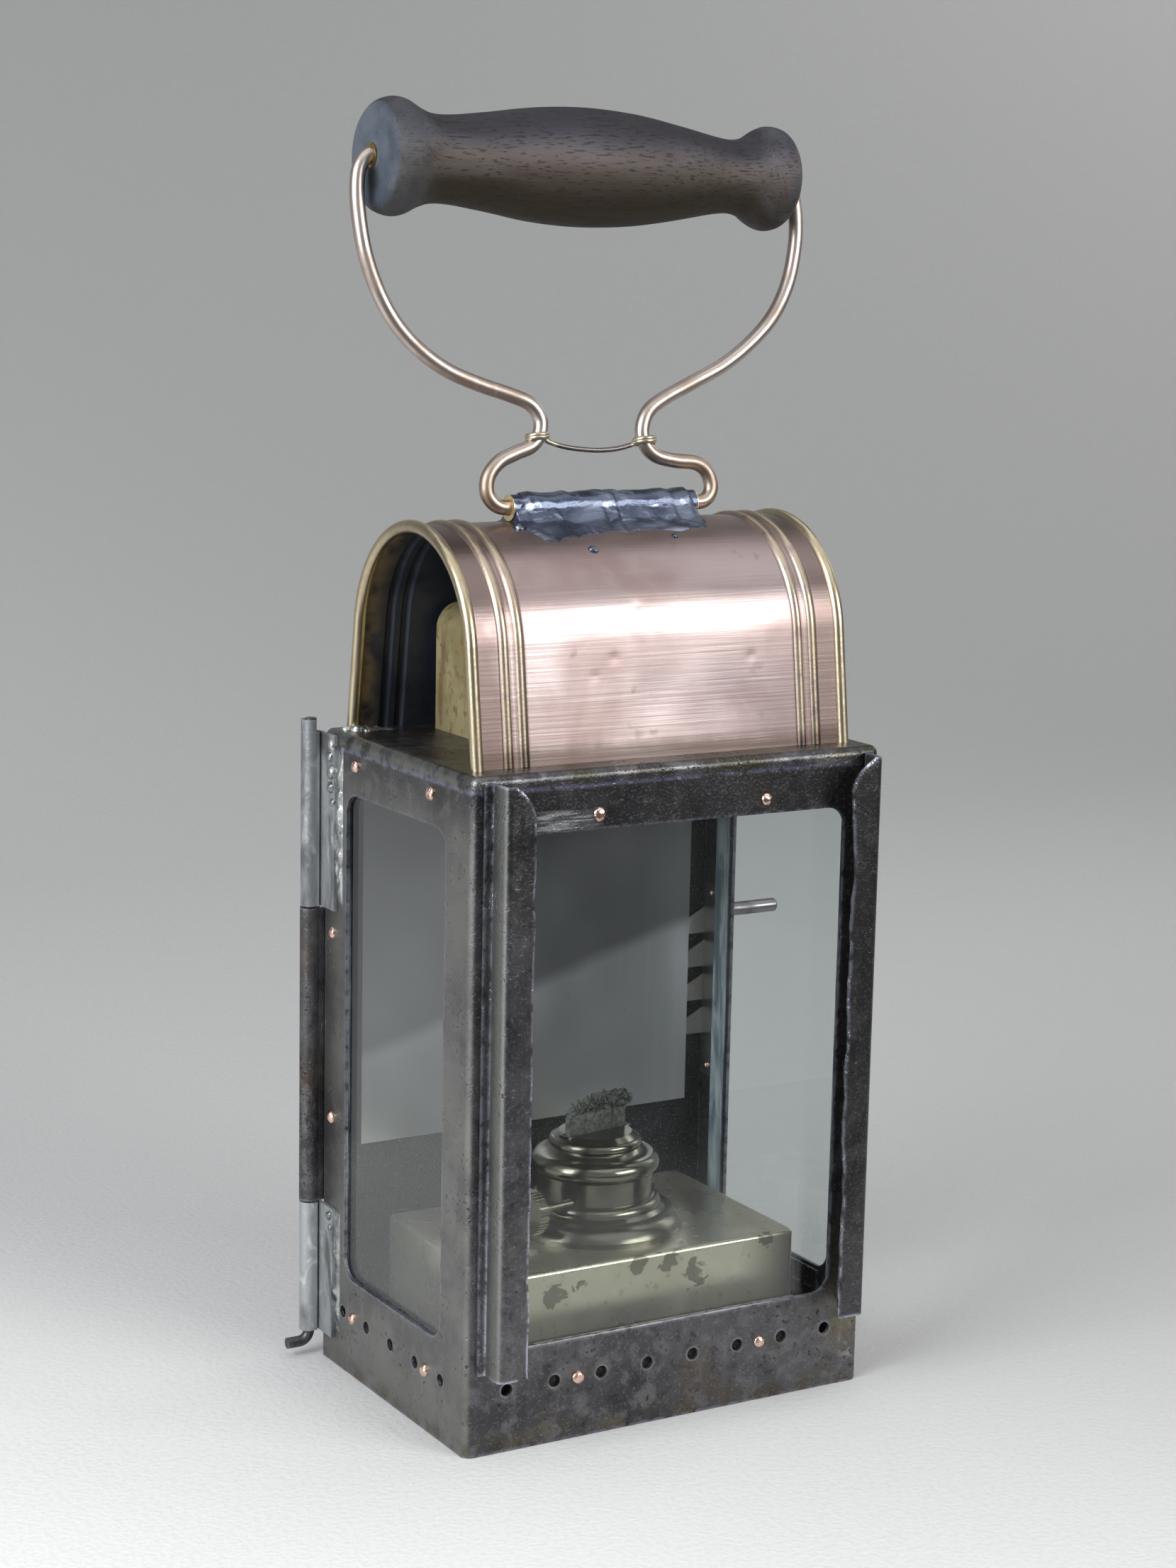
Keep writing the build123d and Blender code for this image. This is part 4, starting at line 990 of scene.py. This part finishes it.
def hood_piece():
    plain = np.linspace(-hood_half, hood_half, 131)
    steps = np.linspace(-bead_reach, bead_reach, 15)
    close = [s * (place + step) for s in (-1, 1) for place in bead_places for step in steps]
    places = np.unique(np.round(np.concatenate([plain, close]), 6))
    runs = np.linspace(0, hood_run, 180)
    beads = np.array([bead_rise(x) for x in places])
    rows, columns = len(places), len(runs)
    x, run = np.meshgrid(places, runs, indexing="ij")
    grow = np.repeat(beads[:, None], columns, 1)
    for dent_x, dent_run, radius, depth in hood_dents:
        away = ((x - dent_x) ** 2 + (run - dent_run) ** 2) / radius**2
        grow = grow - depth * np.exp(-away)
    waves = lumps(np.stack([x.ravel(), run.ravel(), 0 * x.ravel()], 1), 45, 7.7, 2).reshape(x.shape)
    fade = np.clip(np.minimum(run, hood_run - run) / hood_wave_fade, 0, 1)
    grow = grow + hood_wave * waves * fade
    y, z = arch(run, grow)
    inner_y, inner_z = arch(run, grow - hood_sheet)
    outer = np.stack([x, y, z], -1).reshape(-1, 3)
    inner = np.stack([x, inner_y, np.maximum(inner_z, roof_top)], -1).reshape(-1, 3)
    points = np.vstack([outer, inner])
    hood = add_piece("copper_hood", points, shell_faces(rows, columns), hood_copper, crease=50)
    hood.data.materials.append(hood_soot)
    inside = (rows - 1) * (columns - 1)
    shades = np.zeros(len(hood.data.polygons), int)
    shades[inside : 2 * inside] = 1
    hood.data.polygons.foreach_set("material_index", shades)
    return hood


fit(hood_piece(), "hood_copper", "hood")


# Crown solder: wiped over the tube and down the hood, with a ragged skirt
skirt_places = (-0.0225, -0.0182, -0.0135, -0.0098, -0.004, 0.003, 0.008, 0.0132, 0.018, 0.0225)
skirt_reaches = (0.0124, 0.014, 0.0122, 0.0113, 0.0102, 0.0104, 0.0098, 0.0112, 0.0096, 0.01)


def wipe(x, y):
    """Height of the overlapping wipes in the solder, 0 to 1."""
    sway = noise.noise(Vector((x * 110, y * 150, 3.0)))
    share = (x / wipe_pitch + wipe_slant * y + 1.3 * sway) % 1.0
    rise = min(share / wipe_peak, (1 - share) / (1 - wipe_peak))
    return rise * rise * (3 - 2 * rise)


def on_ridge(away):
    """Height of the hood at a distance from the middle of its arch."""
    return (hood_radius**2 - away**2) ** 0.5 + hood_centre


def skirt_knots(skirt):
    """Half of the saddle's section, from the edge of its skirt to the top of the tube."""
    top = tube_radius + saddle_skin
    knots = []
    for share in (1.0, 0.75, 0.5):
        away = skirt_start + (max(skirt, skirt_least) - skirt_start) * (2 * share - 1)
        knots.append((away, on_ridge(away) + skirt_lift * (1 - share)))
    return knots + [
        (0.004, hood_centre + hood_radius + 0.0012),
        (0.0032, tube_height - 0.0003),
        (top * 0.93, tube_height + top * 0.37),
        (top * 0.62, tube_height + top * 0.78),
    ]


def rag(x, size, scale, seed):
    return size * noise.noise(Vector((x * scale, seed, 0)))


def saddle_piece():
    rows, columns = 150, 91
    ridge = (0, tube_height + tube_radius + saddle_skin)
    points, base = [], []
    for x in np.linspace(-saddle_half, saddle_half, rows):
        front = np.interp(x, skirt_places, skirt_reaches)
        front += rag(x, 0.0009, 420, 1.2) + rag(x, 0.0005, 1100, 5.2)
        rear = rear_skirt + rag(x, 0.003, 150, 9.4)
        end = min(1.0, (saddle_half + saddle_lip - abs(x)) / saddle_end) ** 0.5
        profile = [(-away, z) for away, z in skirt_knots(front)] + [ridge] + skirt_knots(rear)[::-1]
        for k, (y, z) in enumerate(smooth_run(profile, columns)):
            share = abs(2 * k / (columns - 1) - 1)
            rough = noise.fractal(Vector((x * 330, y * 330, z * 330)), 0.7, 2.1, 3)
            lift = saddle_lift + wipe_height * wipe(x, y) + saddle_lumps * rough
            lift *= min(1.0, (1 - share) * 5) * (1.0 if share > 0.45 else 0.6)
            ground = on_ridge(min(abs(y), 0.02))
            tuck = skirt_tuck if share > 0.97 else 0.0
            height = ground + (z - ground) * (0.25 + 0.75 * end) + lift - tuck
            place = hood_setback + y * (0.86 + 0.14 * end)
            points.append((x, place, height))
            base.append((x, place, ground - saddle_sink))
    return add_piece("crown_saddle", points + base, shell_faces(rows, columns), lead_solder, crease=70)


fit(saddle_piece(), "solder", "crown_solder")


def drops_piece(name, drops, material):
    """Small drops of solder: each has a foot, a direction and a size."""
    rings, sides = 7, 16
    sweep, bulge, squash = 0.62 * pi, 0.45, 0.8
    points, faces = [], []
    for foot, out, size in drops:
        across = out.orthogonal().normalized()
        side = out.cross(across)
        start = len(points)
        for i in range(rings):
            tip = sweep * (i + 1) / rings
            for k in range(sides):
                turn = 2 * pi * k / sides
                swell = noise.noise(foot * 900 + Vector((cos(turn), sin(turn), tip)))
                wide = size * sin(tip) * (1 + bulge * swell)
                away = wide * (cos(turn) * across + sin(turn) * side)
                points.append(foot + away + squash * size * cos(tip) * out)
        faces += grid_faces(rings, sides, start, True)
        faces.append([start + k for k in range(sides)])
        faces.append([start + (rings - 1) * sides + k for k in range(sides)])
    return add_piece(name, points, faces, material, crease=60)


def hood_drop(x, run, size):
    low, high = np.array(arch(run, 0.0)), np.array(arch(run, 1.0))
    return Vector((x, *map(float, low))), Vector((0, *map(float, high - low))), size


# Each drop's place across and along its sheet, and its size
hood_drops = [(-0.0108, 0.0462, 0.001), (0.0112, 0.0498, 0.0007), (-0.0238, 0.056, 0.0011)]
strap_drops = [
    (0.0292, 0.1412, 0.0013), (0.03, 0.1386, 0.0011), (0.029, 0.1352, 0.0016), (0.0296, 0.1318, 0.0012),
    (0.0288, 0.1286, 0.0009), (0.0296, 0.0345, 0.0011), (0.029, 0.0318, 0.0008),
]
roof_drops = [
    (-0.0452, 0.0285, 0.0017), (-0.0428, 0.0293, 0.0013), (-0.0472, 0.0296, 0.0012), (-0.0436, 0.027, 0.0009),
]
hinge_drops = [(Vector((strap_face, y, z)), Vector((-1, 0, 0)), size) for y, z, size in strap_drops]
hinge_drops += [(Vector((x, y, roof_top)), Vector((0, 0, 1)), size) for x, y, size in roof_drops]
ridge_drops = [hood_drop(*drop) for drop in hood_drops]
fit(drops_piece("hood_solder_drops", ridge_drops, lead_solder), "solder")
fit(drops_piece("hinge_solder_drops", hinge_drops, pale_solder), "solder")


# Bail: one wire bent by hand, so its two sides differ a little
def on_bail(u, v, w=0.0):
    return bail_root + float(u) * bail_right + float(v) * bail_up + float(w) * bail_away


right_bends = [
    (0.002, 0.0), (0.015, 0.0), (0.0222, 0.0), (0.0262, 0.0004), (0.0281, 0.003), (0.0272, 0.0066),
    (0.0243, 0.0086), (0.0189, 0.0092), (0.0142, 0.0104), (0.0117, 0.0129), (0.0112, 0.0162),
    (0.0129, 0.0199), (0.0169, 0.0226), (0.0244, 0.026), (0.033, 0.0299), (0.0408, 0.0351),
    (0.0469, 0.0409), (0.0512, 0.048), (0.0536, 0.0559), (0.0543, 0.0625), (0.0537, 0.0677),
    (0.0515, 0.0705), (0.048, 0.071), (0.03, 0.0714), (0.002, 0.0721),
]
left_bends = [
    (-0.002, 0.0), (-0.015, 0.0), (-0.022, 0.0), (-0.0256, 0.0005), (-0.0278, 0.003), (-0.0274, 0.0066),
    (-0.0246, 0.0097), (-0.0205, 0.0115), (-0.0166, 0.0129), (-0.0144, 0.0154), (-0.0141, 0.0189),
    (-0.0164, 0.0219), (-0.021, 0.0238), (-0.0284, 0.0261), (-0.0358, 0.0291), (-0.0422, 0.0335),
    (-0.0472, 0.0389), (-0.0508, 0.0455), (-0.0531, 0.0527), (-0.0541, 0.0599), (-0.0542, 0.0662),
    (-0.0533, 0.0708), (-0.0511, 0.0731), (-0.048, 0.0732), (-0.03, 0.0728), (-0.002, 0.0721),
]
bail_points = [on_bail(u, v) for u, v in smooth_run(right_bends, 150)]
bail_points += [on_bail(u, v) for u, v in smooth_run(left_bends, 150)][::-1]
fit(wire_piece("wire_bail", bail_points, wire_radius, bail_metal, 20), "bail_wire", "bail", body="bail")


def tie_coil(neck, height, way):
    """Nearly two turns of thin wire round one neck of the bail."""
    ring = wire_radius + tie_radius + tie_gap
    coil = []
    for share in np.linspace(0, 1, 52):
        turn = way * (pi / 2 - 2 * pi * tie_turns * share)
        across = neck + way * ring * sin(turn)
        coil.append(on_bail(across, height + tie_pitch * (share - 0.5), -ring * cos(turn)))
    return coil


tie_span = [
    (-0.0126, 0.014), (-0.01, 0.0131), (-0.006, 0.0123),
    (0.0, 0.0118), (0.005, 0.0121), (0.0092, 0.013),
]
tie_points = tie_coil(-0.015, 0.0148, 1)[::-1]
tie_points += [on_bail(u, v, tie_back) for u, v in smooth_run(tie_span, 30)]
tie_points += tie_coil(0.0116, 0.0136, -1)
fit(wire_piece("neck_tie", tie_points, tie_radius, tie_metal, 10), "tie_steel", "tie_wire", body="bail")


# Grip: turned wood, worn by hand, on the bail's top run
grip_profile = [
    (-0.0503, 0.009), (-0.05005, 0.0101), (-0.0488, 0.0114), (-0.0464, 0.0122), (-0.044, 0.01195),
    (-0.0408, 0.0104), (-0.0372, 0.0093), (-0.032, 0.0093), (-0.024, 0.0103), (-0.012, 0.012),
    (0.0, 0.0126), (0.012, 0.0119), (0.024, 0.01), (0.032, 0.0085), (0.0368, 0.008),
    (0.0406, 0.0087), (0.044, 0.0106), (0.0464, 0.0114), (0.0486, 0.011), (0.05, 0.0098),
    (0.0503, 0.0085),
]


def grip_piece():
    run = [(-grip_half, grip_bore), (-grip_half, grip_end_ring)]
    run += list(smooth_run(grip_profile, 150))
    run += [(grip_half, grip_end_ring), (grip_half, grip_bore)]
    sides = 72
    away = grip_axis.cross(grip_lift)
    points = []
    for w, radius in run:
        for k in range(sides):
            turn = 2 * pi * k / sides
            dip = noise.fractal(Vector((w * 60, 2 * cos(turn), 2 * sin(turn))), 0.8, 2.0, 3)
            size = radius * (1 + (grip_wear * dip if radius > grip_end_ring else 0.0))
            out = cos(turn) * grip_lift + sin(turn) * away
            points.append(grip_middle + float(w) * grip_axis + float(size) * out)
    last = (len(run) - 1) * sides
    faces = grid_faces(len(run), sides, 0, True)
    faces += [(k, last + k, last + (k + 1) % sides, (k + 1) % sides) for k in range(sides)]
    return add_piece("wooden_grip", points, faces, grip_wood, crease=38)


fit(grip_piece(), "grip_wood", "grip", body="grip")


# Wick: flat woven cotton, charred and frayed at the top
def wick_piece():
    rows, columns = 46, 44
    along = Vector((cos(burner_turn), sin(burner_turn), 0))
    across = Vector((-sin(burner_turn), cos(burner_turn), 0))
    points, fray = [], []
    for i in range(rows):
        share = i / (rows - 1)
        for k in range(columns):
            turn = 2 * pi * k / columns
            u = np.sign(cos(turn)) * abs(cos(turn)) ** 0.35 * wick_width / 2
            v = np.sign(sin(turn)) * abs(sin(turn)) ** 0.55 * wick_thickness / 2
            slant = np.clip((u - slant_start) / slant_run, 0, 1)
            top = wick_high.z - wick_fuzz_room - wick_slant * (1 - slant)
            z = wick_low.z + (top - wick_low.z) * share**0.5
            near = np.clip((z - cap_top) / 0.001, 0, 1)
            loose = np.clip((z - fray_from) / fray_run, 0, 1)
            bump = noise.fractal(Vector((u * 700, v * 700, z * 600)), 0.8, 2.0, 4)
            z += fray_height * loose * bump
            wide = float(u * (1 + 0.03 * loose * bump))
            deep = float(v * (1 + 0.12 * near * bump + 0.5 * loose * (0.5 + bump)))
            points.append(along * wide + across * deep + Vector((0, 0, float(z))))
            fray.append(float(loose))
    faces = grid_faces(rows, columns, 0, True)
    rim = (rows - 1) * columns
    crown, foot = len(points), len(points) + 1
    points += [Vector((0, 0, wick_high.z - wick_crown)), Vector((0, 0, wick_low.z))]
    fray += [1.0, 0.0]
    for k in range(columns):
        following = (k + 1) % columns
        faces.append((rim + k, rim + following, crown))
        faces.append((following, k, foot))
    core = add_piece("flat_wick", points, faces, wick_cotton, crease=80)
    rag = core.data.attributes.new("fray", "FLOAT", "POINT")
    rag.data.foreach_set("value", fray)
    values = {"Density": strand_density, "Strand length": strand_length, "Strand radius": strand_radius}
    values.update({"Seed": strand_seed, "Finish": wick_cotton})
    return follow(core, wick_fuzz, values)


fit(wick_piece(), "wick_cotton", "wick", body="wick")


# Stage: a pale floor that sweeps up into a grey backdrop
@painted
def stage_cloth(f):
    """Pale cloth with painted light and shade: lighter towards the front left, greyer up the sweep and on the
    backdrop's left; in reflections its front part is painted dark.
    """
    level = f.step(f.z, 0.0, 0.75)
    # Painted light and shade: the cloth lighter towards the front left and greyer towards the back right.
    slant = 0.75 * f.x + 0.66 * f.y
    f.base(f.step(slant, -0.22, 0.12), (0.8, 0.797, 0.785), (0.46, 0.46, 0.455))
    f.coat(f.step(slant, 0.45, 1.0), (0.39, 0.39, 0.385))
    wall = f.blend(f.step(f.x, 0.3, 1.5), (0.35, 0.352, 0.345), (0.52, 0.52, 0.512))
    f.coat(level, wall)
    weave = f.grain(1, 2, (700, 700, 700))
    f.coat(f.step(weave, 0.4, 0.7) * 0.08, (0.3, 0.29, 0.27))
    # Painted shade in reflections: the front part of the cloth is dark to glossy rays.
    mirrored = f.node("LightPath")["Is Glossy Ray"]
    f.coat(mirrored * f.step(f.y, -0.09, -0.22), (0.035, 0.035, 0.035))
    return f.surface(0.0, 0.9, weave, 0.0002)


def stage_piece():
    front, back, bend, height, half_width = -2.2, 0.55, 0.9, 3.2, 3.0
    below = 0.0001
    run = [(front, 0.0), (-0.6, 0.0), (0.2, 0.0), (back, 0.0)]
    run += [(back + bend * sin(t), bend * (1 - cos(t))) for t in np.linspace(0.1, pi / 2, 16)]
    run += [(back + bend, height)]
    points = [(x, y, z - below) for y, z in run for x in (-half_width, half_width)]
    floor = add_piece("floor", points, grid_faces(len(run), 2), stage_cloth, crease=90)


stage_piece()


# Light and camera
def add_softbox(name, place, target, size, power, colour):
    lamp = bpy.data.lights.new(name, "AREA")
    lamp.shape = "RECTANGLE"
    lamp.size, lamp.size_y = size
    lamp.energy = power
    lamp.color = colour
    holder = bpy.data.objects.new(name, lamp)
    bpy.context.scene.collection.objects.link(holder)
    aim = (Vector(target) - Vector(place)).to_track_quat("-Z", "Y").to_matrix().to_4x4()
    holder.matrix_world = Matrix.Translation(place) @ aim


lamp_target = (0, 0, 0.13)
add_softbox("key_softbox", (0.55, -0.98, 0.56), (0, 0, 0.17), (0.7, 0.4), 8.3, (1.0, 0.995, 0.98))
add_softbox("left_softbox", (-1.05, -0.3, 0.64), lamp_target, (0.7, 0.9), 16.0, (0.95, 0.97, 1.0))
add_softbox("top_softbox", (0.1, -0.15, 1.5), lamp_target, (2.0, 2.0), 14.5, (0.98, 0.985, 1.0))
add_softbox("backdrop_softbox", (1.7, 0.45, 0.9), (1.05, 1.3, 0.2), (0.8, 0.8), 5.5, (1.0, 1.0, 0.99))


def add_room():
    """A pale room to the eye and a dim one to the light."""
    world = bpy.data.worlds.new("studio")
    bpy.context.scene.world = world
    world.use_nodes = True
    world.node_tree.nodes.clear()
    room = Maker(world.node_tree)
    rays = room.node("LightPath")
    seen = rays["Is Camera Ray"] + rays["Is Transmission Ray"]
    dim = room.node("Background", {"Color": (0.4, 0.42, 0.45), "Strength": 0.35})
    pale = room.node("Background", {"Color": (0.5, 0.5, 0.495), "Strength": 1.0})
    both = room.node("MixShader", {0: seen, 1: dim, 2: pale})
    room.node("OutputWorld", {"Surface": both})


add_room()

azimuth, elevation, roll = radians(-30.57), radians(10.2), radians(1.17)
camera_place = (-0.3329, -0.558, 0.2506)
camera_lens = 69.42
back = Vector((sin(azimuth) * cos(elevation), -cos(azimuth) * cos(elevation), sin(elevation)))
level = (-back).cross(Vector((0, 0, 1))).normalized()
upright = level.cross(-back)
right = cos(roll) * level + sin(roll) * upright
top = cos(roll) * upright - sin(roll) * level
camera = bpy.data.objects.new("camera", bpy.data.cameras.new("camera"))
bpy.context.scene.collection.objects.link(camera)
aim = Matrix((right, top, back)).transposed().to_4x4()
camera.matrix_world = Matrix.Translation(camera_place) @ aim
camera.data.lens = camera_lens
bpy.context.scene.camera = camera
bpy.context.scene.view_settings.view_transform = "Standard"
